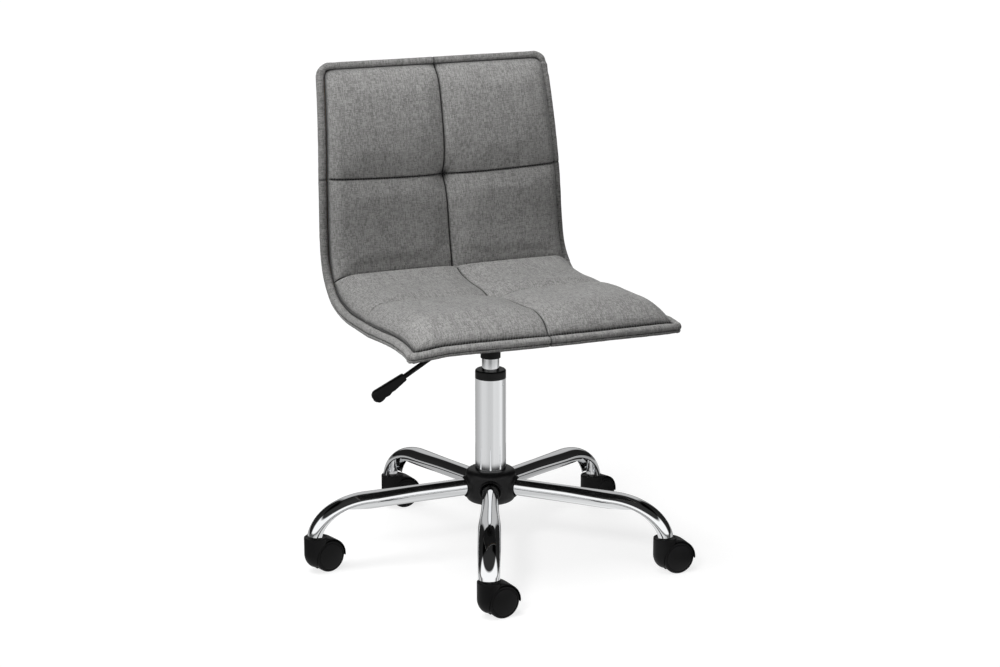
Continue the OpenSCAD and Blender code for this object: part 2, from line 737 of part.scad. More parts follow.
// Upholstered shell. Its middle surface is a chain of arcs in the YZ plane, followed by
// the distance s from the middle of the front edge; heading(s) is its slope there.
shell_l = nose_l + flat_l + rise_l + bend_l + lumbar_l + upper_l;
heading_table = [
    [0, nose_slope], [nose_l, flat_slope], [nose_l + flat_l, flat_slope],
    [nose_l + flat_l + rise_l, rise_slope],
    [nose_l + flat_l + rise_l + bend_l, back_foot_slope],
    [shell_l - upper_l, lumbar_slope], [shell_l, top_slope]];
function heading(s) = lookup(s, heading_table);

walk_step = 2;
walk_count = ceil(shell_l / walk_step);
walk = [for (i = 0, p = [-front_reach, 0]; i <= walk_count;
    p = p + walk_step * [cos(heading((i + 0.5) * walk_step)), sin(heading((i + 0.5) * walk_step))],
    i = i + 1) p];
walk_y = [for (i = [0:walk_count]) [i * walk_step, walk[i][0]]];
walk_z = [for (i = [0:walk_count]) [i * walk_step, walk[i][1]]];
walk_over_column = lookup(0, [for (p = walk) [p[0], p[1]]]);
crease_share = 0.47;
crease_s = nose_l + flat_l + rise_l + crease_share * bend_l;
waist_s = 92;
thigh_s = 184;
thigh_swell = 1;

// Point at x across, s along and n off the middle surface, towards the sitter
function shell_point(x, s, n) =
    [x, lookup(s, walk_y) - n * sin(heading(s)),
     lookup(s, walk_z) - walk_over_column + seat_z + n * cos(heading(s))];

function half_w(s) = lookup(s, [[0, front_w / 2], [waist_s, front_w / 2 - corner_waist],
    [thigh_s, front_w / 2 + thigh_swell], [crease_s, crease_w / 2], [back_seam_s, shoulder_w / 2],
    [shell_l, top_w / 2]]);
function front_s(u) = front_bow * u * u;

// Positions across a cushion, closer together beside its seams and edges
panel_steps = [0, 0.035, 0.1, 0.22, 0.38, 0.55, 0.72, 0.85, 0.93, 0.975, 1];
cushion_steps = concat([for (p = panel_steps) -1 + p], [for (i = [1:10]) panel_steps[i]]);

tuft_reach = 12;
edge_drop = 2;
nose_crown_drop = 3;
corner_ease = 2;
pad_corner_r = top_corner_r - band_w + corner_ease;

// Quarter-round rise from 0 at an edge or seam to 1 at distance r from it
function roll(d, r) = d >= r ? 1 : d <= 0 ? 0 : sqrt(1 - pow(1 - d / r, 2));

function cushion_n(dx, ds, seam_x, seam_s, edge_n, crown, seam, tuft) =
    edge_n + (crown - edge_n) * roll(dx, edge_roll) * roll(ds, edge_roll)
    - seam * min(roll(dx, edge_roll), roll(ds, edge_roll))
        * (1 - min(roll(seam_x, edge_roll), roll(seam_s, edge_roll)))
    - tuft * exp(-norm([seam_x, seam_s]) / tuft_reach);

module cushion(s_low, s_seam, s_high, crown_low, crown_high, seam, tuft, bow, r_low, r_high) {
    edge_n = band_t / 2 - edge_drop;
    bottom_n = board_n + cushion_gap;
    inset = band_w + seat_gap;
    function corner_in(d, r) = r > 0 && d < r ? r - sqrt(r * r - pow(r - max(d, 0), 2)) : 0;
    grid = [for (t = cushion_steps) [for (u = cushion_steps) let (
        low = s_low + bow * front_s(u),
        s = t < 0 ? s_seam + t * (s_seam - low) : s_seam + t * (s_high - s_seam),
        w = half_w(s) - inset,
        x = u * (w - corner_in(s - low, r_low) - corner_in(s_high - s, r_high)),
        crown = crown_low + (crown_high - crown_low) * (t + 1) / 2)
        [x, s, cushion_n((1 - abs(u)) * w, min(s - low, s_high - s), abs(x), abs(s - s_seam), edge_n,
            crown, seam, tuft)]]];
    slab([for (row = grid) [for (q = row) shell_point(q[0], q[1], q[2])]],
        [for (row = grid) [for (q = row) shell_point(q[0], q[1], bottom_n)]]);
}

module seat_cushion() {
    color([0.5, 0.5, 0.49]) cushion(band_w + seat_gap, seat_seam_s, crease_s - seat_gap,
        seat_crown - nose_crown_drop, seat_crown, seat_seam_depth, tuft_depth, 1, inner_corner_r, 0);
}

module back_cushion() {
    color([0.42, 0.42, 0.41]) cushion(crease_s + seat_gap, back_seam_s, shell_l - band_w - seat_gap,
        back_foot_crown, back_top_crown, back_seam_depth, tuft_depth, 0, 0, pad_corner_r);
}

// Section of the border band: share of its width from the inner edge, share of its half thickness
band_section = [[0, -0.85], [0, 0.7], [0.15, 0.95], [0.5, 1], [0.85, 0.8], [1, 0.3], [1, -0.4],
    [0.85, -0.9], [0.5, -1]];

module band(outer, inner) {
    loft([for (i = [0:len(outer) - 1]) [for (q = band_section)
        let (p = inner[i] + (outer[i] - inner[i]) * q[0])
        shell_point(p[0], p[1], q[1] * band_t / 2)]]);
}

// Right half of an outline in x and s; the left half mirrors it
function seat_edge(inset, r) = concat(
    [for (i = [0:9]) let (s = crease_s - seat_gap - i * (crease_s - seat_gap - front_s(1) - inset - r) / 9)
        [half_w(s) - inset, s]],
    [for (a = [22.5:22.5:90]) [half_w(0) - inset - r + r * cos(a), front_s(1) + inset + r - r * sin(a)]],
    [for (u = [0.8, 0.6, 0.4, 0.2, 0]) [u * (half_w(0) - inset), front_s(u) + inset]]);

function back_edge(inset, r) = concat(
    [for (i = [0:12]) let (s = crease_s + seat_gap + i * (shell_l - inset - r - crease_s - seat_gap) / 12)
        [half_w(s) - inset, s]],
    [for (a = [18:18:90]) [half_w(shell_l) - inset - r + r * cos(a), shell_l - inset - r + r * sin(a)]],
    [[(half_w(shell_l) - r) / 2, shell_l - inset], [0, shell_l - inset]]);

function mirrored(half) = concat(half, [for (i = [len(half) - 2:-1:0]) [-half[i][0], half[i][1]]]);

module seat_band() {
    color([0.47, 0.47, 0.46])
        band(mirrored(seat_edge(0, front_corner_r)), mirrored(seat_edge(band_w, inner_corner_r)));
}

module back_band() {
    color([0.42, 0.42, 0.41]) mirror([1, 0, 0])
        band(mirrored(back_edge(0, top_corner_r)), mirrored(back_edge(band_w, top_corner_r - band_w)));
}

// A sheet of the shell between two distances n off the middle surface, drawn in from the
// outline by inset, with a corner radius at its low and its high end
module shell_sheet(s_low, s_high, inset, r_low, r_high, n_low, n_high, steps) {
    corner = [0, 30, 60, 90];
    middle = [s_low + r_low, s_high - r_high];
    low_corner = [for (a = corner) if (r_low > 0 && a < 90)
        [s_low + r_low * (1 - cos(a)), r_low * (1 - sin(a))]];
    high_corner = [for (a = corner) if (r_high > 0 && a > 0)
        [middle[1] + r_high * sin(a), r_high * (1 - cos(a))]];
    stations = concat(low_corner,
        [for (i = [0:steps]) [middle[0] + (middle[1] - middle[0]) * i / steps, 0]], high_corner);
    function row(st, n) = [for (u = [-1, 1]) shell_point(u * (half_w(st[0]) - inset - st[1]), st[0], n)];
    slab([for (st = stations) row(st, n_high)], [for (st = stations) row(st, n_low)]);
}

module bolt_holes(d) {
    through = band_t + board_t + cover_t;
    in_plate_frame() bolt_places() cylinder(d = d, h = 2 * through, center = true);
}

module shell_board() {
    board_inset = band_w + 1;
    flange_gap = 0.5;
    color("burlywood") difference() {
        shell_sheet(front_bow + board_inset, shell_l - board_inset, board_inset, front_corner_r,
            top_corner_r, board_n - board_t, board_n, 72);
        bolt_holes(bolt_d + 2 * (nut_wall + nut_play));
        in_plate_frame() bolt_places() translate([0, 0, board_n - nut_flange_t - nut_play])
            cylinder(r = nut_flange_r + flange_gap, h = board_t);
    }
}

module under_cover() {
    color([0.2, 0.2, 0.2]) difference() {
        shell_sheet(front_bow + under_inset, crease_s - seat_gap, under_inset, front_corner_r, 0,
            cover_n - cover_t, cover_n, 48);
        bolt_holes(bolt_d + 1);
    }
}

module rear_cover() {
    color([0.4, 0.4, 0.39])
        shell_sheet(crease_s + seat_gap, shell_l - cover_inset, cover_inset, 0, top_corner_r - cover_inset,
            cover_n - cover_t, cover_n, 48);
}

// Casters, each in a frame at its stem on the floor with +X along its trail
module caster_frame(k) {
    rotate([0, 0, leg_turns[k]]) translate([stem_reach, 0, 0])
        rotate([0, 0, caster_turns[k] - leg_turns[k]]) children();
}

module caster_stem(k) {
    color("silver") caster_frame(k) translate([0, 0, stem_bottom_z])
        cylinder(r = stem_r, h = stem_top_z - stem_bottom_z);
}

// Hood: round stem boss, web between the wheels and a fender arched over them
module caster_hood(k) {
    pocket_r = wheel_r + fender_gap;
    fender_r = pocket_r + fender_t;
    pocket_w = 2 * caster_w;
    foot_z = 5.5;
    boss_bottom_z = 6;
    far = 3 * boss_r;
    color([0.07, 0.07, 0.08]) caster_frame(k) difference() {
        union() {
            translate([0, 0, boss_bottom_z]) cylinder(r = boss_r, h = boss_top_z - boss_bottom_z);
            translate([caster_trail, 0, wheel_r]) rotate([90, 0, 0])
                cylinder(r = fender_r, h = 2 * hood_half, center = true);
            translate([0, -hood_half, wheel_r + 8])
                cube([caster_trail, 2 * hood_half, fender_r - 8 - 1.5]);
        }
        for (side = [-1, 1]) translate([caster_trail, side * (web_half + pocket_w / 2), wheel_r])
            rotate([90, 0, 0]) cylinder(r = pocket_r, h = pocket_w, center = true);
        rotate([90, 0, 0]) linear_extrude(2 * caster_w, center = true)
            polygon([[-far, -foot_z], [-far, 38], [-boss_r, 38], [-17.5, 29], [-14, 21], [-8, 13.5],
                [0, 8], [10, foot_z], [caster_trail + 6, foot_z], [caster_trail + 20, 14], [far, 14],
                [far, -foot_z]]);
        translate([0, 0, stem_bottom_z]) cylinder(r = stem_r + fit_gap, h = boss_top_z);
        translate([caster_trail, 0, wheel_r]) rotate([90, 0, 0])
            cylinder(r = axle_r + fit_gap, h = 2 * caster_w, center = true);
        translate([0, 0, boss_top_z - 1.2]) ring(boss_r - 2, stem_r + 3, 4);
    }
}

module caster_axle(k) {
    color("silver") caster_frame(k) translate([caster_trail, 0, wheel_r]) rotate([90, 0, 0])
        cylinder(r = axle_r, h = 2 * (wheel_out - axle_inset), center = true);
}

// Wheel with a rounded tread and a slightly domed outer face, bored from its inner side
module wheel(k, side) {
    edge_r = 3;
    dome_h = 3;
    flat_out = wheel_out - dome_h;
    color([0.08, 0.08, 0.09]) caster_frame(k) translate([caster_trail, 0, wheel_r])
        rotate([side * 90, 0, 0]) difference() {
            rotate_extrude() polygon(concat(
                [[0, wheel_in], [wheel_r - 1, wheel_in], [wheel_r, wheel_in + 1]],
                [for (a = [0:22.5:67.5])
                    [wheel_r - edge_r + edge_r * cos(a), flat_out - edge_r + edge_r * sin(a)]],
                [for (f = [0.8:-0.2:0.2]) [(wheel_r - edge_r) * f, flat_out + dome_h * (1 - f * f)]],
                [[0, wheel_out]]));
            translate([0, 0, wheel_in - lap])
                cylinder(r = axle_r + fit_gap, h = wheel_out - axle_inset + 2 * lap - wheel_in);
        }
}

hub_socket();
for (k = [0:leg_count - 1])
    base_leg(k);
stem_sockets();
hub_shroud();
column_tube();
column_guide();
thrust_bearing();
piston_rod();
rubber_bumper();
piston();
rod_washer();
rod_clip();
gas_cylinder();
rod_seal();
release_pin();
seat_plate();
taper_socket();
lever_bracket();
lever_pin();
lever_rod();
lever_handle();
plate_bolts();
tee_nuts();
shell_board();
seat_cushion();
back_cushion();
seat_band();
back_band();
rear_cover();
under_cover();
for (k = [0:leg_count - 1]) {
    caster_stem(k);
    caster_hood(k);
    caster_axle(k);
    wheel(k, 1);
    wheel(k, -1);
}
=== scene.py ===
"""Dresses an armless swivel task chair: quilted grey upholstery, a base of chromed tube and
twin-wheel casters.

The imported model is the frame: +Z up, its origin on the floor under the column, its front towards
-Y. Sizes are in millimetres, as in the model's own source, until the last step of each surface
turns them into metres.
"""

import math
from types import SimpleNamespace

import bmesh
import bpy
import numpy as np
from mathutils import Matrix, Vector


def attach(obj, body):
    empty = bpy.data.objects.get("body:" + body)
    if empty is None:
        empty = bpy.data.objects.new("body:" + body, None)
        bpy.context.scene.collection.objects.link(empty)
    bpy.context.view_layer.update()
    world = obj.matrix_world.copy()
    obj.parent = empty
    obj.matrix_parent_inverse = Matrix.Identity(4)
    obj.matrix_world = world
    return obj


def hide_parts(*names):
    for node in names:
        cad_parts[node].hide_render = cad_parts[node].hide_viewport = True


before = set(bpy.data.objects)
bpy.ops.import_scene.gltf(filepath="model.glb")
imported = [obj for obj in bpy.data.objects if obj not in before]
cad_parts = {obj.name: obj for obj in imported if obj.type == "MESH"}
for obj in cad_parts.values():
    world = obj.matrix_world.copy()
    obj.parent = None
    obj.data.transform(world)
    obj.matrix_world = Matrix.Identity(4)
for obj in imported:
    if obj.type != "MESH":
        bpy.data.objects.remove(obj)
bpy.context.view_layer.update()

# Sizes that several pieces share
MM = 0.001
LEGS = 5
# Turn of the base, and of each caster on its stem, in degrees
BASE_TURN = 23.8
CASTER_TURNS = (6, -2, 24, 6, 14)
# Distance of the stems from the column, and of the axles from their stems
STEM_REACH = 294.0
TRAIL = 18.5
# Half the gap between two soft pieces that meet
HALF_GAP = 0.4

# Lengths of the arcs that follow one another along the shell, seen from the side, from the front
FRONT_ARC, SEAT_ARC, RISE_ARC, BEND_ARC, LUMBAR_ARC, BACK_ARC = 46, 228, 84, 108, 60, 247
SHELL_S = np.cumsum([0, FRONT_ARC, SEAT_ARC, RISE_ARC, BEND_ARC, LUMBAR_ARC, BACK_ARC]).astype(float)
# Slope of the shell where those arcs meet, in degrees
SHELL_SLOPE = [20, -2.5, -2.5, 12, 80, 87, 73.5]
SHELL_L = SHELL_S[-1]
# Distances along the shell of the crease between seat and back, and of the two cross seams
CREASE_S = FRONT_ARC + SEAT_ARC + RISE_ARC + 0.47 * BEND_ARC
SEAT_SEAM_S = 228.0
BACK_SEAM_S = 580.0
# Front edge ahead of the column, height of the shell over it, and bow of the front edge
FRONT_REACH = 232.0
SEAT_Z = 406.0
FRONT_BOW = 6.0
# Half widths of the shell at distances along it
WIDTH_S = [0, 92, 184, CREASE_S, BACK_SEAM_S, SHELL_L]
HALF_WIDTHS = [229, 225, 230, 218.5, 214.5, 203.5]
# Border roll
BAND_W = 12.0
BAND_T = 16.0

# Camera: the place, heading and lens that put the model over the photograph
camera_data = bpy.data.cameras.new("camera")
camera_data.sensor_width = 36
camera_data.lens = 85.64
camera_data.clip_end = 200
camera = bpy.data.objects.new("camera", camera_data)
camera.location = (-1.4637, -3.3982, 1.316)
camera.rotation_euler = Vector((0.387, 0.8884, -0.2473)).to_track_quat("-Z", "Y").to_euler()
bpy.context.scene.collection.objects.link(camera)
bpy.context.scene.camera = camera


# Meshes from grids of points
def grid_faces(rows, cols, wrap_rows=False, wrap_cols=False, start=0):
    """Quads between neighbouring points of a grid that is numbered row by row from start."""
    i = np.arange(rows if wrap_rows else rows - 1)[:, None]
    j = np.arange(cols if wrap_cols else cols - 1)[None, :]
    below, right = (i + 1) % rows, (j + 1) % cols
    corners = np.broadcast_arrays(i * cols + j, i * cols + right, below * cols + right, below * cols + j)
    return (np.stack(corners, -1).reshape(-1, 4) + start).tolist()


def tube_faces(rows, cols, start=0):
    """Faces of a closed tube: rows that each close on themselves, with a cap on the first and on
    the last."""
    last = start + (rows - 1) * cols
    caps = [list(range(start, start + cols)), list(range(last, last + cols))]
    return grid_faces(rows, cols, wrap_cols=True, start=start) + caps


def strip(upper, lower):
    """Quads between two runs of point numbers."""
    return np.stack([upper[:-1], upper[1:], lower[1:], lower[:-1]], -1)


def piece(name, points, faces, material, body, node, cloth=None, crease=None, sharp=35, weld=2e-6):
    """Makes a mesh piece from points in metres and faces, welds its seams, points its faces
    outwards, lets it ride on a body and hides the node that it stands for. cloth holds each
    point's place on the cloth, in metres, and crease how much painted shade it gets in
    seams and gaps, from 0 to 1. Edges sharper than sharp degrees stay crisp."""
    points = np.asarray(points, float).reshape(-1, 3)
    mesh = bpy.data.meshes.new(name)
    mesh.from_pydata(points.tolist(), [], faces)
    if cloth is not None:
        layer = mesh.uv_layers.new(name="cloth")
        corner = np.empty(len(mesh.loops), np.int32)
        mesh.loops.foreach_get("vertex_index", corner)
        layer.data.foreach_set("uv", np.asarray(cloth, float).reshape(-1, 2)[corner].ravel())
    if crease is not None:
        # Painted shade: how dark each point is painted in seams and gaps, from 0 to 1
        depth = mesh.attributes.new("crease", "FLOAT", "POINT")
        depth.data.foreach_set("value", np.asarray(crease, float).ravel())
    build = bmesh.new()
    build.from_mesh(mesh)
    bmesh.ops.remove_doubles(build, verts=build.verts, dist=weld)
    bmesh.ops.recalc_face_normals(build, faces=build.faces)
    build.to_mesh(mesh)
    build.free()
    mesh.shade_smooth()
    mesh.set_sharp_from_angle(angle=math.radians(sharp))
    mesh.materials.append(material)
    made = bpy.data.objects.new(name, mesh)
    bpy.context.scene.collection.objects.link(made)
    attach(made, body)
    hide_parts(node)
    return made


# Curves that several shapes use
def ease(x):
    """Smooth step from 0 to 1 as x goes from 0 to 1."""
    x = np.clip(x, 0, 1)
    return x * x * (3 - 2 * x)


def bell(x, width):
    """Bell curve: 1 where x is 0, about a third at width to either side of it."""
    return np.exp(-((x / width) ** 2))


def roll(d, r):
    """Quarter-round rise from 0 at an edge to 1 at distance r from it."""
    return np.sqrt(np.clip(1 - np.clip(1 - d / r, 0, 1) ** 2, 0, 1))


def squared_off(wave, power):
    """A sine or cosine to a power, with its sign kept: below 1 it squares a round section off."""
    return np.sign(wave) * np.abs(wave) ** power


def spin(degrees):
    """Matrix that turns points about the upright axis, for points @ matrix."""
    c, s = math.cos(math.radians(degrees)), math.sin(math.radians(degrees))
    return np.array([[c, s, 0], [-s, c, 0], [0, 0, 1]])


def leg_bearing(k):
    """Direction of leg k in degrees, from +X."""
    return k * 360 / LEGS - 90 - BASE_TURN


def smooth_noise(count_u, count_v, cells_u, cells_v, seed):
    """Smooth random height between -1 and 1 on a grid: random values on a coarse grid, carried
    between its points along both directions by a cubic ease."""
    coarse = np.random.default_rng(seed).uniform(-1, 1, (cells_u + 2, cells_v + 2))
    u, v = np.linspace(0, cells_u, count_u), np.linspace(0, cells_v, count_v)
    iu, iv = np.minimum(u.astype(int), cells_u - 1), np.minimum(v.astype(int), cells_v - 1)
    fu, fv = ease(u - iu)[:, None], ease(v - iv)[None, :]
    low = coarse[np.ix_(iu, iv)] * (1 - fu) + coarse[np.ix_(iu + 1, iv)] * fu
    high = coarse[np.ix_(iu, iv + 1)] * (1 - fu) + coarse[np.ix_(iu + 1, iv + 1)] * fu
    return low * (1 - fv) + high * fv


def crowded(count, spots, crowd=5.0, reach=0.06):
    """count places from -1 to 1 that lie 1 + crowd times closer together at each spot, and less
    so within reach of it."""
    fine = np.linspace(-1, 1, 4001)
    density = 1 + sum(crowd * bell(fine - spot, reach) for spot in spots)
    run = np.concatenate([[0], np.cumsum((density[1:] + density[:-1]) / 2)])
    return np.interp(np.linspace(0, run[-1], count), run, fine)


def evenly(profile, count):
    """count points at even distances along a closed line through the profile's points."""
    loop = np.concatenate([profile, profile[:1]])
    run = np.concatenate([[0], np.cumsum(np.hypot(*np.diff(loop, axis=0).T))])
    at = np.linspace(0, run[-1], count, endpoint=False)
    return np.stack([np.interp(at, run, loop[:, 0]), np.interp(at, run, loop[:, 1])], -1)


# Shader nodes
def add_node(tree, kind, settings=None, output=0, **inputs):
    """Adds one node: its type, then its settings, then the values or links of its sockets. A
    socket goes by its label, with _ for a space, or by i and its number. The setting stops holds
    the places and grey tones of a colour ramp."""
    node = tree.nodes.new("ShaderNode" + kind)
    for key, value in (settings or {}).items():
        if key == "stops":
            for place, tone in value[2:]:
                node.color_ramp.elements.new(place)
            for element, (place, tone) in zip(node.color_ramp.elements, value):
                element.position, element.color = place, (tone, tone, tone, 1)
        else:
            setattr(node, key, value)
    for key, value in inputs.items():
        numbered = key[0] == "i" and key[1:].isdigit()
        slot = node.inputs[int(key[1:]) if numbered else key.replace("_", " ")]
        if isinstance(value, Wire):
            tree.links.new(value.socket, slot)
        else:
            slot.default_value = value
    return Wire(tree, node.outputs[output])


class Wire:
    """A node socket that does arithmetic: an expression on it adds the Math nodes it needs."""

    def __init__(self, tree, socket):
        self.tree, self.socket = tree, socket

    def math(self, operation, *others):
        """The result of a Math node that takes this wire and then the others."""
        return add_node(self.tree, "Math", {"operation": operation},
                        **{f"i{place}": value for place, value in enumerate((self, *others))})

    def __add__(self, other):
        return self.math("ADD", other)

    def __sub__(self, other):
        return self.math("SUBTRACT", other)

    def __rsub__(self, other):
        return add_node(self.tree, "Math", {"operation": "SUBTRACT"}, i0=other, i1=self)

    def __mul__(self, other):
        return self.math("MULTIPLY", other)

    __radd__ = __add__
    __rmul__ = __mul__

    def clamp(self):
        """The value held between 0 and 1."""
        return add_node(self.tree, "Clamp", i0=self)

    def parts(self):
        """The three parts of a vector."""
        first = add_node(self.tree, "SeparateXYZ", Vector=self)
        return [Wire(self.tree, socket) for socket in first.socket.node.outputs]


class Finish:
    """A material and its node tree. Numbers that are the same all over go on the shader."""

    def __init__(self, name, color, **uniform):
        self.material = bpy.data.materials.new(name)
        self.material.use_nodes = True
        self.material.diffuse_color = (*color, 1)
        self.tree = self.material.node_tree
        self.shader = self.tree.nodes["Principled BSDF"]
        self.shader.inputs["Base Color"].default_value = (*color, 1)
        for key, value in uniform.items():
            self.shader.inputs[key.replace("_", " ")].default_value = value

    def node(self, kind, settings=None, output=0, **inputs):
        """Adds a node to this material."""
        return add_node(self.tree, kind, settings, output, **inputs)

    def place(self, kind="Object"):
        """Where a point lies: on its object, or in its UV map."""
        return self.node("TexCoord", output=kind)

    def noise(self, place, scale, detail=2.0, rough=0.5):
        """Noise from 0 to 1 with the given number of cells to the metre, along each axis."""
        fitted = self.node("Mapping", Vector=place, Scale=scale)
        return self.node("TexNoise", Vector=fitted, Scale=1.0, Detail=detail, Roughness=rough)

    def segments(self, place, scale):
        """One random tone from 0 to 1 for each cell of a grid with the given number of cells to
        the metre, along each axis."""
        fitted = self.node("Mapping", Vector=place, Scale=scale)
        cell = self.node("VectorMath", {"operation": "FLOOR"}, i0=fitted)
        return self.node("TexWhiteNoise", {"noise_dimensions": "2D"}, Vector=cell)

    def mix(self, factor, first, second):
        """Colour from first to second as factor goes from 0 to 1."""
        first, second = (c if isinstance(c, Wire) else (*c, 1) for c in (first, second))
        return self.node("Mix", {"data_type": "RGBA"}, output=2, i0=factor, i6=first, i7=second)

    def set(self, **wires):
        """Links wires to inputs of the shader."""
        for key, value in wires.items():
            self.tree.links.new(value.socket, self.shader.inputs[key.replace("_", " ")])

    def bump(self, height, depth, strength=1.0):
        """Relief of the given depth in metres where height goes from 0 to 1."""
        self.set(Normal=self.node("Bump", Height=height, Distance=depth, Strength=strength))


def shade(color, share):
    """A colour made lighter or darker by a share."""
    return tuple(c * share for c in color)


# Finishes
# Threads of the cloth, and lengths of one tone along each, to the metre
THREADS = 1100
WARP_LENGTHS = 190
WEFT_LENGTHS = 210
# Waves of the weave's relief, in radians to the metre, and distance between stitches in metres
WEAVE_WAVES = 4400
STITCH_PITCH = 0.0045
# Colour of the painted shade in seams and gaps
SEAM_SHADE_BLACK = (0.004, 0.004, 0.004)


def melange(name, light, dark):
    """Heathered cloth: warp and weft cross in short lengths of thread, each with a tone of its
    own, flecked with fibres and slowly clouded. Where the seam shade attribute marks it, in
    seams, gaps and hidden sides, it is painted black as shade, stitch by stitch."""
    cloth = Finish(name, light, Roughness=0.9, Sheen_Weight=0.2, Sheen_Roughness=0.5,
                   Specular_IOR_Level=0.2)
    uv = cloth.place("UV")
    warp = cloth.segments(uv, (THREADS, WARP_LENGTHS, 1))
    weft = cloth.segments(uv, (WEFT_LENGTHS, THREADS, 1))
    fleck = cloth.noise(uv, (1300, 1300, 1), 1.0, 0.6)
    cloud = cloth.noise(uv, (60, 14, 1), 2.0)
    fibres = (warp - 0.5) * 0.6 + (weft - 0.5) * 0.46 + (fleck - 0.5) * 2.0
    tone = fibres + (cloud - 0.5) * 0.35 + 0.46
    woven = cloth.mix(tone.clamp(), dark, light)
    # Painted shade: the seam shade attribute darkens the cloth towards black in seams and gaps, wavering a
    # little from stitch to stitch
    sunk_shade = cloth.node("Attribute", {"attribute_name": "crease"}, output="Fac")
    along, across, _ = uv.parts()
    stitch = (along * (2 * math.pi / STITCH_PITCH)).math("SINE")
    cloth.set(Base_Color=cloth.mix((sunk_shade * (stitch * 0.12 + 0.94)).clamp(), woven, SEAM_SHADE_BLACK))
    threads = (along * WEAVE_WAVES).math("SINE") * (across * WEAVE_WAVES).math("SINE")
    cloth.bump(threads * 0.5 + fleck * 0.4, 0.00016, 0.5)
    return cloth.material


def chromed(name, tint=(0.86, 0.87, 0.88)):
    """Bright chrome with a faint haze that comes and goes over the surface."""
    metal = Finish(name, tint, Metallic=1.0, Roughness=0.05)
    haze = metal.noise(metal.place(), (30, 30, 30), 3.0)
    metal.set(Roughness=haze * 0.05 + 0.025)
    return metal.material


def moulded(name, color, rough, grain=0.00008, size=900, gloss=0.2):
    """Moulded plastic or paint: a fine grain in the relief, and a slow change in tone and gloss."""
    shell = Finish(name, color, Roughness=rough, Specular_IOR_Level=gloss)
    at = shell.place()
    fine = shell.noise(at, (size, size, size))
    slow = shell.noise(at, (25, 25, 25))
    shell.set(Roughness=slow * 0.16 + (rough - 0.08))
    shell.set(Base_Color=shell.mix(slow, shade(color, 0.85), shade(color, 1.15)))
    shell.bump(fine, grain)
    return shell.material


def turned_steel(name, color, rough):
    """Plain machined steel: fine lines round the upright axis."""
    metal = Finish(name, color, Metallic=1.0, Roughness=rough)
    lines = metal.noise(metal.place(), (8, 8, 2500))
    metal.set(Roughness=lines * 0.2 + (rough - 0.1))
    metal.bump(lines, 0.00003)
    return metal.material


def plywood_sheet(name):
    """Pale rotary-cut veneer: long grain across the board with darker growth lines."""
    wood = Finish(name, (0.55, 0.38, 0.22), Roughness=0.6)
    grain = wood.noise(wood.place(), (4, 60, 60), 4.0, 0.6)
    wood.set(Base_Color=wood.mix(grain, (0.42, 0.26, 0.13), (0.66, 0.48, 0.3)))
    wood.bump(grain, 0.0002)
    return wood.material


def felted(name, color):
    """Non-woven dust cloth: short pressed fibres lying every way."""
    felt = Finish(name, color, Roughness=0.95)
    at = felt.place()
    fibre = felt.noise(at, (1500, 300, 300)) + felt.noise(at, (300, 1500, 300))
    felt.set(Base_Color=felt.mix((fibre * 0.5).clamp(), shade(color, 0.5), shade(color, 1.6)))
    felt.bump(fibre, 0.0002)
    return felt.material


CLOTH_LIGHT = (0.46, 0.456, 0.448)
CLOTH_DARK = (0.17, 0.168, 0.164)
cloth_grey = melange("cloth_grey", CLOTH_LIGHT, CLOTH_DARK)
# Darker copies of the cloth for the border rolls: painted shade, deeper on the back's border than on the
# seat's
seat_border_shaded_grey = melange("seat_border_shaded_grey", shade(CLOTH_LIGHT, 0.97), shade(CLOTH_DARK, 0.97))
back_border_shaded_grey = melange("back_border_shaded_grey", shade(CLOTH_LIGHT, 0.83), shade(CLOTH_DARK, 0.83))
chrome = chromed("chrome")
steel = turned_steel("steel", (0.6, 0.6, 0.6), 0.3)
dark_steel = turned_steel("dark_steel", (0.12, 0.12, 0.12), 0.4)
brass = turned_steel("brass", (0.7, 0.5, 0.22), 0.3)
black_paint = moulded("black_paint", (0.006, 0.006, 0.006), 0.42, 0.00004, 500)
black_plastic = moulded("black_plastic", (0.005, 0.005, 0.0053), 0.42, gloss=0.32)
handle_plastic = moulded("handle_plastic", (0.005, 0.005, 0.005), 0.35)
caster_plastic = moulded("caster_plastic", (0.0045, 0.0045, 0.0048), 0.48)
wheel_plastic = moulded("wheel_plastic", (0.006, 0.006, 0.0063), 0.5)
rubber = moulded("rubber", (0.01, 0.01, 0.01), 0.75, 0.0002, 300)
plywood = plywood_sheet("plywood")
dust_cloth = felted("dust_cloth", (0.03, 0.03, 0.03))

# Finish of each node of the frame. A name that ends in _ stands for the five nodes numbered after it
NODE_FINISH = {
    chrome: ["base_leg_", "stem_sockets", "column_tube", "gas_cylinder"],
    steel: ["piston_rod", "release_pin", "lever_pin", "thrust_bearing", "rod_washer", "tee_nuts",
            "caster_stem_", "caster_axle_"],
    dark_steel: ["hub_socket", "rod_clip", "plate_bolts"],
    brass: ["piston"],
    black_paint: ["seat_plate", "taper_socket", "lever_bracket", "lever_rod"],
    black_plastic: ["hub_shroud", "column_guide"],
    handle_plastic: ["lever_handle"],
    caster_plastic: ["caster_hood_"],
    wheel_plastic: ["wheel_near_", "wheel_far_"],
    rubber: ["rubber_bumper", "rod_seal"],
    plywood: ["shell_board"],
    dust_cloth: ["under_cover"],
    cloth_grey: ["seat_cushion", "back_cushion", "seat_band", "back_band", "rear_cover"],
}
for finish, names in NODE_FINISH.items():
    for node_name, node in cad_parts.items():
        if node_name in names or node_name.rstrip("12345") in names:
            node.data.materials.clear()
            node.data.materials.append(finish)
            node.data.shade_smooth()

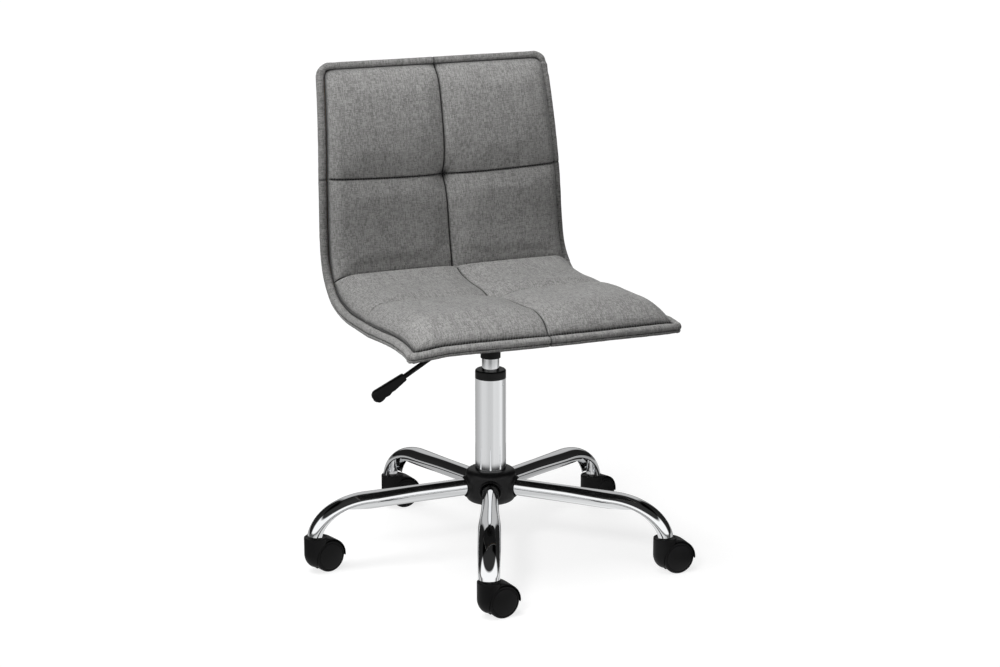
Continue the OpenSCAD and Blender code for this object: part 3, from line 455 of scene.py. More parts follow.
# The shell's middle surface: x across, s along it from the front edge, and n off it
walk_s = np.arange(0, SHELL_L + 30, 1.0)
walk_slope = np.radians(np.interp(walk_s[:-1] + 0.5, SHELL_S, SHELL_SLOPE))
walk_y = np.concatenate([[0], np.cumsum(np.cos(walk_slope))]) - FRONT_REACH
walk_z = np.concatenate([[0], np.cumsum(np.sin(walk_slope))])
on_seat = slice(0, 400)
walk_z += SEAT_Z - np.interp(0, walk_y[on_seat], walk_z[on_seat])


def softened(values, spread):
    """A row of values, each replaced by a bell-weighted mean of spread - 2 of its neighbours."""
    weights = np.hanning(spread)[1:-1]
    side = (len(weights) - 1) // 2
    return np.convolve(np.pad(values, side, mode="edge"), weights / weights.sum(), mode="valid")


# Lift of the padded front edge across the chair: it stands up in the middle, and its corners droop
LIFT_X = [-229, -205, -170, -120, 0, 120, 200, 229]
LIFT_N = [-4.5, -2, 3.5, 4.5, 3.5, 2, 0, -1.5]
FRONT_FADE = 100
lift_x = np.arange(-240, 241, 2.0)
lift_n = softened(np.interp(lift_x, LIFT_X, LIFT_N), 15)


def shell_point(x, s, n):
    """Point in metres at x across, s along and n off the shell's middle surface, towards the
    sitter: the point of the arc chain at s, moved by n square to its slope there. The front
    edge's lift fades out over the first 100 mm."""
    x, s, n = np.broadcast_arrays(*(np.asarray(a, float) for a in (x, s, n)))
    n = n + np.interp(x, lift_x, lift_n) * ease(1 - s / FRONT_FADE)
    slope = np.radians(np.interp(s, SHELL_S, SHELL_SLOPE))
    y = np.interp(s, walk_s, walk_y) - n * np.sin(slope)
    z = np.interp(s, walk_s, walk_z) + n * np.cos(slope)
    return np.stack([x, y, z], -1) * MM


width_s = np.arange(-60, SHELL_L + 61, 2.0)
width_half = softened(np.interp(width_s, WIDTH_S, HALF_WIDTHS), 27)


def half_width(s):
    """Half the shell's width at s: the half widths joined by lines, softened over 50 mm."""
    return np.interp(s, width_s, width_half)


# Quilted cushions
PAD_INSET = BAND_W + HALF_GAP
# Height over the shell's middle surface of a pad's edge and of its underside
PAD_EDGE_N = 3.5
PAD_BOTTOM_N = 2.8
# How far a straight cross seam sags at its ends
SEAM_SAG = 5
# Distance from a pad's edge at which its seams have their full depth
SEAM_FADE = 12
# How far the deeper end of a seam reaches, and how much deeper the middle and cross seams are there
SEAM_END = 14
MID_END_DEEP = 6
CROSS_END_DEEP = 3
# A seam is a valley with a slit in it: the width of each, and its share of the seam's depth
SEAM_VALLEY = 11
SEAM_SLIT = 1.5
VALLEY_SHARE = 0.72
SLIT_SHARE = 0.55
# Widths of the painted shade lines along the cross seam and the pad's edge
CROSS_LINE = 1.8
EDGE_LINE = 1.1
# Reach of the funnel where the seams cross, and how steep its wall is
TUFT_REACH = 26
TUFT_POWER = 1.15
# How squarely a panel swells: 1 is a plain sine
SWELL_POWER = 0.7
# Cloth gets painted shade where it lies less than about this far over the pad's edge
LOW_SHADE_REACH = 6
# Height and number along each side of the slow bumps in a pad's face
BUMP_N = 0.5
BUMP_CELLS = 9


def corner_inset(d, r):
    """How far a rounded corner of radius r draws a side in at distance d from the end."""
    if r == 0:
        return 0
    return np.where(d < r, r - np.sqrt(np.clip(r * r - (r - np.clip(d, 0, r)) ** 2, 0, None)), 0)


class Pad(SimpleNamespace):
    """One quilted cushion between two distances along the shell. A seam runs down its middle and
    one across it, and where they cross the cloth is drawn down to the board.

    low, seam, high: distances along the shell of its front or lower end, cross seam and other end.
    bow: share of the front edge's bow that its low end follows.
    corner_low, corner_high: radii of its corners, seen from above.
    crown_low, crown_high: height of its face over the shell at the two ends.
    roll_side, roll_low, roll_high: how far in from each edge its face has risen in full.
    fall_low, fall_high: share of the crown that is gone at each end.
    dome: swell of each of its four panels.
    tuft: depth of the funnel where the seams cross.
    mid_deep, cross_deep: depths of the middle and cross seams.
    mid_line, cross_black: width of the painted shade line along the middle seam, and how dark the painted
    shade along the cross seam is.
    """

    def place(self, u, t):
        """x and s on the shell for u across and t along, both from -1 to 1 with the seams at 0:
        s runs from the low end to the seam and on to the high end, x is u times the half width,
        drawn in round the corners by a quarter circle."""
        low = self.low + self.bow * FRONT_BOW * u * u
        seam = self.seam + SEAM_SAG * u * u * (1 - self.bow)
        s = np.where(t < 0, seam + t * (seam - low), seam + t * (self.high - seam))
        wide = half_width(s) - PAD_INSET
        drawn_in = corner_inset(s - low, self.corner_low) + corner_inset(self.high - s, self.corner_high)
        return u * (wide - drawn_in), s, low, seam, wide

    def height(self, u, t):
        """Height over the shell: the crown rises from the edges in a quarter round, swells in
        the middle of each of the four panels, has a narrow slit along the seams that deepens
        towards their ends, and is drawn down in a funnel where they cross. The cloth gets
        painted shade in the seams, at its very edge and wherever it lies down at the border's level."""
        x, s, low, seam, wide = self.place(u, t)
        from_side, from_low, from_high = (1 - np.abs(u)) * wide, s - low, self.high - s
        from_mid, from_cross = np.abs(x), np.abs(s - seam)
        from_end = np.minimum(from_low, from_high)
        crown = self.crown_low + (self.crown_high - self.crown_low) * (t + 1) / 2
        gone_low = self.fall_low * (1 - roll(from_low, self.roll_low))
        gone_high = self.fall_high * (1 - roll(from_high, self.roll_high))
        swell = self.dome
        for share in (u, t):
            swell = swell * np.sin(np.pi * np.abs(share)) ** SWELL_POWER
        rise = roll(from_side, self.roll_side) * (1 - gone_low - gone_high)
        n = PAD_EDGE_N + (crown - PAD_EDGE_N) * rise + swell
        held = np.minimum(roll(from_side, SEAM_FADE), roll(from_end, SEAM_FADE))
        mid_deep = self.mid_deep + MID_END_DEEP * np.exp(-from_end / SEAM_END)
        cross_deep = self.cross_deep + CROSS_END_DEEP * np.exp(-from_side / SEAM_END)
        for off, deep in ((from_mid, mid_deep), (from_cross, cross_deep)):
            section = VALLEY_SHARE * np.exp(-off / SEAM_VALLEY) + SLIT_SHARE * bell(off, SEAM_SLIT)
            n -= held * deep * section
        n -= self.tuft * np.exp(-((np.hypot(from_mid, from_cross) / TUFT_REACH) ** TUFT_POWER))
        # Painted shade: black lines along the seams, at the pad's very edge and where the cloth lies low by
        # the border
        seam_shade_lines = np.maximum(bell(from_mid, self.mid_line), self.cross_black * bell(from_cross, CROSS_LINE))
        sunk_shade = bell(np.maximum(n - PAD_EDGE_N - 0.5, 0), LOW_SHADE_REACH)
        rim = bell(np.minimum(from_side, from_end), EDGE_LINE)
        return x, s, n, np.maximum(seam_shade_lines * np.clip(held * 1.2, 0, 1), np.maximum(sunk_shade, rim))

    def surface(self, u, t, lift=0):
        """Points of the pad's face in metres, raised by lift, then their x, s and painted seam shade."""
        x, s, n, crease = self.height(u, t)
        return shell_point(x, s, n + lift), x, s, crease


def laid_out(points, middle_row, middle_col):
    """Each point's place on the cloth: lengths measured over the surface from the middle row and
    the middle column of its grid, in metres."""

    def run(axis, middle):
        step = np.linalg.norm(np.diff(points, axis=axis), axis=-1)
        total = np.concatenate([np.zeros_like(np.take(step, [0], axis)), np.cumsum(step, axis)], axis)
        return total - np.take(total, [middle], axis)

    return np.stack([run(1, middle_col), run(0, middle_row)], -1)


# Cloth trial: its grid, its frames, the limit of its push in mm, and the share of the pad's half
# size over which the push fades towards the border
TRIAL_COLS = 74
TRIAL_ROWS = 70
TRIAL_FRAMES = 20
PUSH_LIMIT = 4.0
PUSH_FADE = 0.3


def billow(pad):
    """How far stuffing pushes the cloth of a pad out, in mm, on an even grid: the cloth is held
    at its border and along its seams, has a little spare length and is blown outwards. The push
    is evened out twice along each direction by weights of 1, 2 and 1, and fades to the border."""
    u, t = np.meshgrid(np.linspace(-1, 1, TRIAL_COLS), np.linspace(-1, 1, TRIAL_ROWS))
    rest, x, s, _ = pad.surface(u, t)
    mesh = bpy.data.meshes.new("cloth_trial")
    mesh.from_pydata(rest.reshape(-1, 3).tolist(), [], grid_faces(TRIAL_ROWS, TRIAL_COLS))
    trial = bpy.data.objects.new("cloth_trial", mesh)
    scene = bpy.context.scene
    scene.collection.objects.link(trial)
    on_border = np.maximum(np.abs(u), np.abs(t)) > 0.999
    on_seam = np.minimum(np.abs(u), np.abs(t)) < 0.02
    group = trial.vertex_groups.new(name="held")
    group.add(np.flatnonzero((on_border | on_seam).ravel()).tolist(), 1.0, "REPLACE")
    modifier = trial.modifiers.new("cloth", "CLOTH")
    modifier.collision_settings.use_collision = False
    modifier.point_cache.frame_start, modifier.point_cache.frame_end = 1, TRIAL_FRAMES
    cloth = modifier.settings
    cloth.quality = 6
    cloth.mass = 0.3
    cloth.tension_stiffness = 12
    cloth.compression_stiffness = 12
    cloth.shear_stiffness = 4
    cloth.bending_stiffness = 2.5
    cloth.shrink_min = -0.01
    cloth.vertex_group_mass = "held"
    cloth.use_pressure = True
    cloth.uniform_pressure_force = 4
    cloth.effector_weights.gravity = 0
    scene.frame_start, scene.frame_end = 1, TRIAL_FRAMES
    for step in range(1, TRIAL_FRAMES + 1):
        scene.frame_set(step)
    blown = trial.evaluated_get(bpy.context.evaluated_depsgraph_get()).to_mesh()
    now = np.empty(len(blown.vertices) * 3)
    blown.vertices.foreach_get("co", now)
    moved = (now.reshape(rest.shape) - rest) / MM
    bpy.data.objects.remove(trial)
    scene.frame_set(1)
    outward = (shell_point(x, s, 1.0) - shell_point(x, s, 0.0)) / MM
    push = (moved * outward).sum(-1)
    for axis in (0, 1, 0, 1):
        count = push.shape[axis]
        spare = np.concatenate([np.take(push, [0], axis), push, np.take(push, [-1], axis)], axis)
        push = (np.take(spare, range(count), axis) + 2 * push + np.take(spare, range(2, count + 2), axis)) / 4
    return np.clip(push, -PUSH_LIMIT, PUSH_LIMIT) * ease((1 - np.maximum(np.abs(u), np.abs(t))) / PUSH_FADE)


def resampled(grid, u, t):
    """Values of an even grid over -1 to 1 at other places, by a cubic curve through four
    neighbours along each direction."""

    def along(values, at, axis):
        count = values.shape[axis]
        pos = (at + 1) / 2 * (count - 1)
        base = np.clip(pos.astype(int), 0, count - 2)
        f = pos - base
        pick = [np.take(values, np.clip(base + k, 0, count - 1), axis) for k in (-1, 0, 1, 2)]
        weights = [-f * (1 - f) ** 2 / 2, 1 + f * f * (3 * f - 5) / 2,
                   f * (1 + 4 * f - 3 * f * f) / 2, f * f * (f - 1) / 2]
        shape = (-1, 1) if axis == 0 else (1, -1)
        return sum(p * w.reshape(shape) for p, w in zip(pick, weights))

    return along(along(grid, t, 0), u, 1)


def build_pad(name, pad, node, seed, cols=260, rows=240):
    """The cushion as one closed skin: its crowned face, straight sides and a flat underside that
    follows the shell. Its grid is closest along the seams and the edges. Slow, slight bumps and
    the push of the stuffing are added to the face."""
    u, t = crowded(cols, (-1, 0, 1)), crowded(rows, (-1, 0, 1))
    uu, tt = np.meshgrid(u, t)
    inside = roll((1 - np.abs(uu)) * 200, 60) * roll((1 - np.abs(tt)) * 200, 60)
    lift = BUMP_N * smooth_noise(rows, cols, BUMP_CELLS, BUMP_CELLS, seed) * inside
    lift = lift + resampled(billow(pad), u, t)
    top, x, s, crease = pad.surface(uu, tt, lift)
    under = shell_point(x, s, PAD_BOTTOM_N)
    # Numbers of the underside's rim: the front row, then pairs at the left and right, then the rear row
    start = cols * rows
    pairs = start + cols + 2 * np.arange(rows - 2)
    front = start + np.arange(cols)
    rear = start + cols + 2 * (rows - 2) + np.arange(cols)
    left = np.concatenate([front[:1], pairs, rear[:1]])
    right = np.concatenate([front[-1:], pairs + 1, rear[-1:]])
    rim = np.concatenate([under[0], under[1:-1, [0, -1]].reshape(-1, 3), under[-1]])
    face = np.arange(start).reshape(rows, cols)
    faces = grid_faces(rows, cols)
    for upper, lower in ((face[0], front), (face[-1], rear), (face[:, 0], left), (face[:, -1], right)):
        faces += strip(upper, lower).tolist()
    faces.append([*front.tolist(), int(right[1]), int(left[1])])
    faces.append([*rear.tolist(), int(right[-2]), int(left[-2])])
    faces += strip(left[1:-1], right[1:-1]).tolist()
    place = laid_out(top, rows // 2, cols // 2)
    rim_place = np.concatenate([place[0], place[1:-1, [0, -1]].reshape(-1, 2), place[-1]])
    points = np.concatenate([top.reshape(-1, 3), rim])
    cloth = np.concatenate([place.reshape(-1, 2), rim_place])
    # Painted shade: the face keeps its seam shade, and the underside and sides are painted black as shade in
    # the gap by the border
    depth = np.concatenate([crease.ravel(), np.ones(len(rim))])
    made = piece(name, points, faces, cloth_grey, "seat", node, cloth, depth, sharp=60)


seat_pad = Pad(
    low=BAND_W + HALF_GAP, seam=SEAT_SEAM_S, high=CREASE_S - HALF_GAP, bow=1,
    corner_low=2, corner_high=0, crown_low=36, crown_high=37,
    roll_side=32, roll_low=64, roll_high=18, fall_low=1, fall_high=0.6,
    dome=4, tuft=15, mid_deep=3.5, cross_deep=4, mid_line=1.3, cross_black=0.35)
back_pad = Pad(
    low=CREASE_S + HALF_GAP, seam=BACK_SEAM_S, high=SHELL_L - BAND_W - HALF_GAP, bow=0,
    corner_low=0, corner_high=12, crown_low=33, crown_high=23,
    roll_side=19, roll_low=60, roll_high=40, fall_low=0.55, fall_high=1,
    dome=3, tuft=18, mid_deep=5, cross_deep=5, mid_line=1.8, cross_black=1)
build_pad("seat_pad_quilted", seat_pad, "seat_cushion", 3)
build_pad("back_pad_quilted", back_pad, "back_cushion", 5)


# Border band: a stuffed roll of cloth round the shell's edge
def outline(end, away, inset, radius, bow, side_count, end_count):
    """Outline of the shell in x and s from its crease to one end, set in by inset: along the
    right side, round the corner, along the end, and the same back on the left. The end lies at
    end along the shell, away is 1 where s grows towards it and -1 where s falls, and its
    corners lie bow behind its middle."""
    corner = end - away * (bow + inset + radius)
    side = np.linspace(CREASE_S + away * HALF_GAP, corner, side_count, endpoint=False)
    turn = np.radians(np.linspace(0, 90, 25, endpoint=False))
    wide = half_width(end) - inset
    across = np.linspace(wide - radius, 0, end_count)
    half = np.concatenate([
        np.stack([half_width(side) - inset, side], -1),
        np.stack([wide - radius + radius * np.cos(turn), corner + away * radius * np.sin(turn)], -1),
        np.stack([across, end - away * (bow * (across / wide) ** 2 + inset)], -1)])
    return np.concatenate([half, (half[:-1] * [-1, 1])[::-1]])


def band_section(count=56):
    """Section of the roll: share of its width from the inner edge, share of its half thickness,
    and how much painted shade each point gets in the stitched groove. A squared oval, pinched
    along the middle of its outer side, whose lower half stands back a little."""
    a = np.linspace(0, 2 * np.pi, count, endpoint=False)
    a = a - 0.175 * np.sin(2 * a)
    n = squared_off(np.sin(a), 0.8)
    out = -squared_off(np.cos(a), np.where(n < 0, 0.4, 0.8))
    groove = bell(n + 0.2, 0.13) * (out > 0)
    out = out - np.clip(out, 0, 1) * (0.32 * groove + 0.05 * (n < -0.2))
    return 0.5 + 0.5 * out, n, groove**2


# Distances between the roll's slow waves and between its puckers, the reach of a gather, and the
# half width of a seam across the roll
WAVE_PITCH = 38
PUCKER_PITCH = 7
GATHER_REACH = 26
NOTCH_HALF = 1.6


def build_band(name, outer, inner, node, material, seed, crossings, gathers):
    """The roll carried along the outline: each point lies between the inner and the outer
    outline by its share of the width, and off the shell by its share of the half thickness.
    Slow waves and small puckers change both, and the puckers grow at the gathers. Seams lie
    across the roll at the crossings. The groove, the seams across the roll and its inner edge
    by the pad get painted shade. Gathers and crossings are given in x and s."""
    share, lift, groove = band_section()
    length = np.concatenate([[0], np.cumsum(np.hypot(*(np.diff((outer + inner) / 2, axis=0)).T))])
    rows, cols = len(length), len(share)
    wave = smooth_noise(rows, 2, int(length[-1] / WAVE_PITCH), 1, seed)[:, :1]
    pucker = smooth_noise(rows, 2, int(length[-1] / PUCKER_PITCH), 1, seed + 1)[:, :1]
    gather = sum(bell(np.hypot(*(outer - spot).T), GATHER_REACH) for spot in gathers)[:, None]
    pucker = pucker * (1 + 4 * gather)
    crossed = [length[np.argmin(np.abs(outer - spot).sum(1))] for spot in crossings]
    notch = sum(bell(length - at, NOTCH_HALF) for at in crossed)[:, None]
    width = 1 + 0.03 * wave + 0.02 * pucker - 0.12 * notch
    thick = 1 + 0.04 * wave + 0.02 * pucker - 0.1 * notch
    path = inner[:, None, :] + (outer - inner)[:, None, :] * (0.5 + (share - 0.5) * width)[..., None]
    points = shell_point(path[..., 0], path[..., 1], lift * BAND_T / 2 * thick)
    # Painted shade in the stitched groove, at the seams across the roll and along its inner edge by the pad
    crease = np.clip(0.75 * groove + 0.8 * notch + bell(share, 0.05), 0, 1)
    round_roll = np.arange(cols)[None, :] * (BAND_W + BAND_T) * 1.6 / cols
    cloth = np.stack(np.broadcast_arrays(length[:, None], round_roll), -1) * MM
    made = piece(name, points, tube_faces(rows, cols), material, "seat", node, cloth, crease, sharp=60)


# Outer and inner outline of the seat's border and of the back's: their insets and corner radii
seat_lines = [outline(0.0, -1, inset, radius, FRONT_BOW, 130, 90)
              for inset, radius in ((0, 10), (BAND_W, 2))]
back_lines = [outline(SHELL_L, 1, inset, radius, 0, 150, 80)
              for inset, radius in ((0, 22), (BAND_W, 10))]
# Where the back's cross seam meets its border
SIDE_X = half_width(BACK_SEAM_S)
SIDE_S = BACK_SEAM_S + SEAM_SAG
build_band("seat_border_roll", *seat_lines, "seat_band", seat_border_shaded_grey, 11,
           crossings=[(0, 0)], gathers=[(225, 8), (-225, 8)])
build_band("back_border_roll", *back_lines, "back_band", back_border_shaded_grey, 13,
           crossings=[(0, SHELL_L), (SIDE_X, SIDE_S), (-SIDE_X, SIDE_S)],
           gathers=[(203, SHELL_L - 30), (-190, SHELL_L)])


# Rear cover
def build_rear_cover(cols=150, rows=170):
    """Cloth over the back of the backrest: a thin sheet with rounded top corners that swells a
    little away from the board between its seams, and whose lining lies against the board."""
    low, high, inset, radius = CREASE_S + HALF_GAP, SHELL_L - 2, 2.0, 20.0
    face_n, lining_n, swell, tuck, slit_deep = -11.2, -8.3, 2.2, 2.6, 1.4
    u, t = np.meshgrid(crowded(cols, (-1, 0, 1), 3), crowded(rows, (-1, 1), 3))
    s = low + (t + 1) / 2 * (high - low)
    wide = half_width(s) - inset - corner_inset(high - s, radius)
    x = u * wide
    edge = np.minimum((1 - np.abs(u)) * wide, np.minimum(s - low, high - s))
    slit = np.clip(bell(x, 1.6) + bell(s - BACK_SEAM_S, 1.6), 0, 1)
    n = face_n - swell * roll(edge, 40) + tuck * (1 - roll(edge, 4)) + slit_deep * slit * roll(edge, 10)
    n = n - 0.4 * smooth_noise(rows, cols, 8, 8, 21) * roll(edge, 40)
    skin, lining = shell_point(x, s, n), shell_point(x, s, lining_n)
    number = np.arange(cols * rows).reshape(rows, cols)
    faces = grid_faces(rows, cols) + grid_faces(rows, cols, start=cols * rows)
    for border in (number[0], number[-1], number[:, 0], number[:, -1]):
        faces += strip(border, border + cols * rows).tolist()
    place = np.stack([x, s], -1) * MM
    points = np.concatenate([skin.reshape(-1, 3), lining.reshape(-1, 3)])
    made = piece("rear_cover_cloth", points, faces, cloth_grey, "seat", "rear_cover",
                 np.concatenate([place, place]), sharp=50)


build_rear_cover()

# Legs: flattened chromed tubes that bend down into open hoods over the stems. The bend is a
# quarter ellipse, BEND_L long and BEND_H high round BEND_C, and the tube ends level at LEG_END_Z
LEG_D = 28.0
LEG_FLARE = 36.0
LEG_WALL = 1.5
LEG_ROOT_Z = 119.4
LEG_END_Z = 62.0
LEG_FALL = math.radians(2.2)
HUB_D = 58.0
BEND_L = 89.0
BEND_H = 62.0
BEND_C = np.array([STEM_REACH - BEND_L, LEG_END_Z - 12])
# The hood's opening: where its sloping cut starts, how far inside the bend the round cut runs,
# and the angle along the bend at which one becomes the other
CUT_START = np.array([STEM_REACH - 104, LEG_END_Z + 36])
CUT_INSIDE = 5
CUT_JOIN = math.radians(27)


def leg_path(straight_count=60, bend_count=90):
    """Centre, heading and width at stations along a leg: a straight fall from the hub, then the
    bend, whose tangent carries on from it. The tube widens towards the bend, and narrows by 2 mm
    over its second half."""
    first = math.atan(math.tan(LEG_FALL) * BEND_L / BEND_H)
    last = math.acos((LEG_END_Z - BEND_C[1]) / BEND_H)
    a = np.linspace(first, last, bend_count)
    bend = BEND_C + np.stack([BEND_L * np.sin(a), BEND_H * np.cos(a)], -1)
    root = np.array([HUB_D / 2 - 2, LEG_ROOT_Z - (HUB_D / 4 - 2) * math.tan(LEG_FALL)])
    f = np.linspace(0, 1, straight_count, endpoint=False)
    centre = np.concatenate([root + f[:, None] * (bend[0] - root), bend])
    bend_slope = -np.arctan(np.tan(a) * BEND_H / BEND_L)
    slope = np.concatenate([np.full(straight_count, -LEG_FALL), bend_slope])
    spread = ease(2 * (centre[:, 0] - HUB_D / 4) / (bend[0, 0] - HUB_D / 4) - 1)
    width = LEG_D + (LEG_FLARE - LEG_D) * spread
    width[straight_count:] -= np.clip(np.linspace(0, 1, bend_count) - 0.5, 0, 1) * 4
    return centre, slope, width


def kept(x, z):
    """Positive where the bend's wall stays: above the sloping cut that starts under the tube,
    and outside the ellipse that the inner half is cut away along."""
    reach = BEND_L - CUT_INSIDE
    join = BEND_C + np.array([reach * math.sin(CUT_JOIN), BEND_H * math.cos(CUT_JOIN)])
    slanted = z - (CUT_START[1] + (x - CUT_START[0]) * (join[1] - CUT_START[1]) / (join[0] - CUT_START[0]))
    round_cut = (np.hypot((x - BEND_C[0]) / reach, (z - BEND_C[1]) / BEND_H) - 1) * BEND_H
    return np.where(x < join[0], slanted, round_cut)


def build_leg(k):
    """Skin of one leg. Each station's section is an oval whose arc runs from -open to open,
    measured from the top, where open is found by halving on the cut. The inner skin lies one
    wall inside, and the last section is run on until it lies level."""
    centre, slope, width = leg_path()
    rows, cols = len(centre), 65
    nx, nz = -np.sin(slope), np.cos(slope)
    radius = LEG_D / 2

    def stays(share):
        return kept(centre[:, 0] + share * radius * nx, centre[:, 1] + share * radius * nz) > 0

    low, high = np.full(rows, -1.0), np.full(rows, 1.0)
    whole = stays(-1)
    for _ in range(40):
        mid = (low + high) / 2
        inside = stays(mid)
        high, low = np.where(inside, mid, high), np.where(inside, low, mid)
    opening = np.where(whole, np.pi, np.arccos(np.clip((low + high) / 2, -1, 1)))
    a = np.linspace(-1, 1, cols)[None, :] * opening[:, None]

    def skin(wall):
        side = (width[:, None] / 2 - wall) * np.sin(a)
        normal = (radius - wall) * np.cos(a)
        x, z = centre[:, :1] + normal * nx[:, None], centre[:, 1:] + normal * nz[:, None]
        run = (LEG_END_Z - z[-1]) / math.sin(slope[-1])
        x[-1], z[-1] = x[-1] + math.cos(slope[-1]) * run, LEG_END_Z
        return np.stack([x, side, z], -1).reshape(-1, 3)

    points = np.concatenate([skin(0), skin(LEG_WALL)])
    number = np.arange(rows * cols).reshape(rows, cols)
    inner = rows * cols
    faces = grid_faces(rows, cols) + grid_faces(rows, cols, start=inner)
    closed = whole[:-1] & whole[1:]
    for border in (number[:, 0], number[:, -1]):
        faces += strip(border, border + inner)[~closed].tolist()
    for border in (number[0], number[-1]):
        faces += strip(border, border + inner).tolist()
    made = piece(f"leg_tube_{k + 1}", points @ spin(leg_bearing(k)) * MM, faces, chrome, "base",
                 f"base_leg_{k + 1}", sharp=50, weld=1e-5)


# Hub
HUB_ROWS = 400
HUB_COLS = 130
# The hub's outer skin lies outside this radius and over this height
HUB_SKIN_R = 39.4
HUB_SKIN_Z = 95
# Reach of the arch from a leg's axis and how far it stands out, and the same for the groove
# between arch and leg, which goes in
ARCH_REACH = 18.8
ARCH_RISE = 4.2
GROOVE_REACH = 15.6
GROOVE_DEEP = 1.8


def build_hub():
    """Barrel over the hub, turned from a closed profile of radius and height: a domed shoulder,
    slightly bulged sides, a rounded foot and the hollow inside. Round each leg the skin is
    pushed out in an arch that fades below the leg, and drawn in next to the tube."""
    dome, foot = np.radians(np.linspace(80, 0, 14)), np.radians(np.linspace(4, 84, 12))
    side_z = np.linspace(135, 107, 12)
    profile = evenly(np.concatenate([
        [(25.2, 144.7), (25.2, 146.6), (25.6, 147)],
        np.stack([27.4 + 13.9 * np.cos(dome), 137 + 10 * np.sin(dome)], -1),
        np.stack([42 - 0.7 * ((side_z - 121) / 16) ** 2, side_z], -1),
        np.stack([32.5 + 8.9 * np.cos(foot), 105.5 - 12.8 * np.sin(foot)], -1),
        [(31.5, 93.4), (31.5, 95), (37, 102), (38.8, 110), (39.2, 121), (38.6, 134), (34, 142),
         (30.2, 144.7)]]), HUB_COLS)
    degrees = (np.arange(HUB_ROWS) * 360 / HUB_ROWS)[:, None]
    r, z = (np.broadcast_to(part, (HUB_ROWS, HUB_COLS)) for part in profile.T)
    between = 360 / LEGS
    from_leg = np.radians((degrees - leg_bearing(0) + between / 2) % between - between / 2)
    axis_z = LEG_ROOT_Z - (r - HUB_D / 4) * math.tan(LEG_FALL)
    off = np.hypot(r * np.sin(from_leg), z - axis_z)
    outside = ease((r - HUB_SKIN_R) / 1.2) * ease((z - HUB_SKIN_Z) / 5)
    arch = ease((ARCH_REACH - off) / 2.4) * ease((z - axis_z + 22) / 9)
    groove = ease((GROOVE_REACH - off) / 1.0)
    r = r + outside * (ARCH_RISE * arch * (1 - groove) - GROOVE_DEEP * groove)
    turn = np.radians(degrees)
    points = np.stack([r * np.cos(turn), r * np.sin(turn), z], -1) * MM
    faces = grid_faces(HUB_ROWS, HUB_COLS, True, True)
    made = piece("hub_barrel", points, faces, black_plastic, "base", "hub_shroud", sharp=60)


# Casters. The pocket is the space in the hood that the wheels turn in, and the fender lies over it
WHEEL_R = 26.0
BOSS_R = 18.75
BOSS_LOW, BOSS_ROUND_Z, BOSS_TOP = 8.05, 31, 59
POCKET_R = 26.8
FENDER_R = 28.8
FENDER_HALF = 16.5
WEB_HALF = 3.5
WEB_R = 27.4


def at_caster(k, points):
    """Points given in caster k's own frame, stem upright at its origin and wheels behind it on
    the x axis, turned and moved to the end of leg k, in metres."""
    leg = math.radians(leg_bearing(k))
    return (points @ spin(CASTER_TURNS[k]) + [STEM_REACH * math.cos(leg), STEM_REACH * math.sin(leg), 0]) * MM


def build_wheel(k, side, name):
    """Wheel turned round the axle from a profile of radius and distance out: flat inner side,
    straight tread, round shoulder, a fine groove and a domed cap. side is 1 for the near wheel
    and -1 for the far one."""
    shoulder, cap_r = np.radians(np.linspace(0, 84, 8)), 21.2
    cap = np.linspace(cap_r, 0, 12)
    profile = np.concatenate([
        [(0, 4.3), (12, 4.3), (WHEEL_R - 1.4, 4.3), (WHEEL_R - 0.4, 4.6), (WHEEL_R, 5.4), (WHEEL_R, 9)],
        np.stack([22.6 + 3.4 * np.cos(shoulder), 13.4 + 3.2 * np.sin(shoulder)], -1),
        [(22.4, 16.5), (22.1, 15.9), (21.7, 15.9), (21.4, 16.5)],
        np.stack([cap, 16.8 + 2.5 * (1 - (cap / cap_r) ** 2)], -1)])
    around = np.radians(np.arange(0, 360, 4))[:, None]
    rows, cols = len(around), len(profile)
    r, out = (np.broadcast_to(part, (rows, cols)) for part in profile.T)
    points = np.stack([TRAIL + r * np.cos(around), -side * out, WHEEL_R + r * np.sin(around)], -1)
    made = piece(f"{name}_turned_{k + 1}", at_caster(k, points), grid_faces(rows, cols, True),
                 wheel_plastic, f"{name}_{k + 1}", f"{name}_{k + 1}", sharp=50)


def boss():
    """Boss round the stem: a stack of circles whose radius shrinks like a bowl towards the floor
    and steps in round the top, cut off by the pocket."""
    z = np.concatenate([
        np.linspace(BOSS_LOW, 12, 8), np.linspace(13, BOSS_ROUND_Z, 14), np.linspace(33, 50, 10),
        np.linspace(51, 57.6, 10), [58.3, 58.8, BOSS_TOP, BOSS_TOP, 57.9, 57.9]])
    rim = np.concatenate([np.zeros(42), [0.2, 0.6, 1.2, 2.4, 2.8, 9]])
    bowl = np.clip(BOSS_ROUND_Z - z, 0, None) / (BOSS_ROUND_Z - 8)
    radius = BOSS_R * np.sqrt(np.clip(1 - bowl**2, 0, 1)) - rim
    pocket = TRAIL - np.sqrt(np.clip(POCKET_R**2 - (z - WHEEL_R) ** 2, 0, None))
    a = np.linspace(-1, 1, 61)[None, :] * np.arccos(np.clip(-pocket / radius, -1, 1))[:, None]
    x, y = -radius[:, None] * np.cos(a), radius[:, None] * np.sin(a)
    arc = np.stack([x, y, np.broadcast_to(z[:, None], a.shape)], -1)
    f = np.linspace(0, 1, 12)[None, 1:-1, None]
    return np.concatenate([arc, arc[:, -1:] * (1 - f) + arc[:, :1] * f], 1)


def web():
    """Web between the wheels: a flat plate whose outline is most of a circle."""
    b = np.radians(np.linspace(-40, 228, 80))
    return np.stack([np.stack([TRAIL + WEB_R * np.cos(b), np.full(80, y), WHEEL_R + WEB_R * np.sin(b)], -1)
                     for y in (-WEB_HALF, WEB_HALF)])


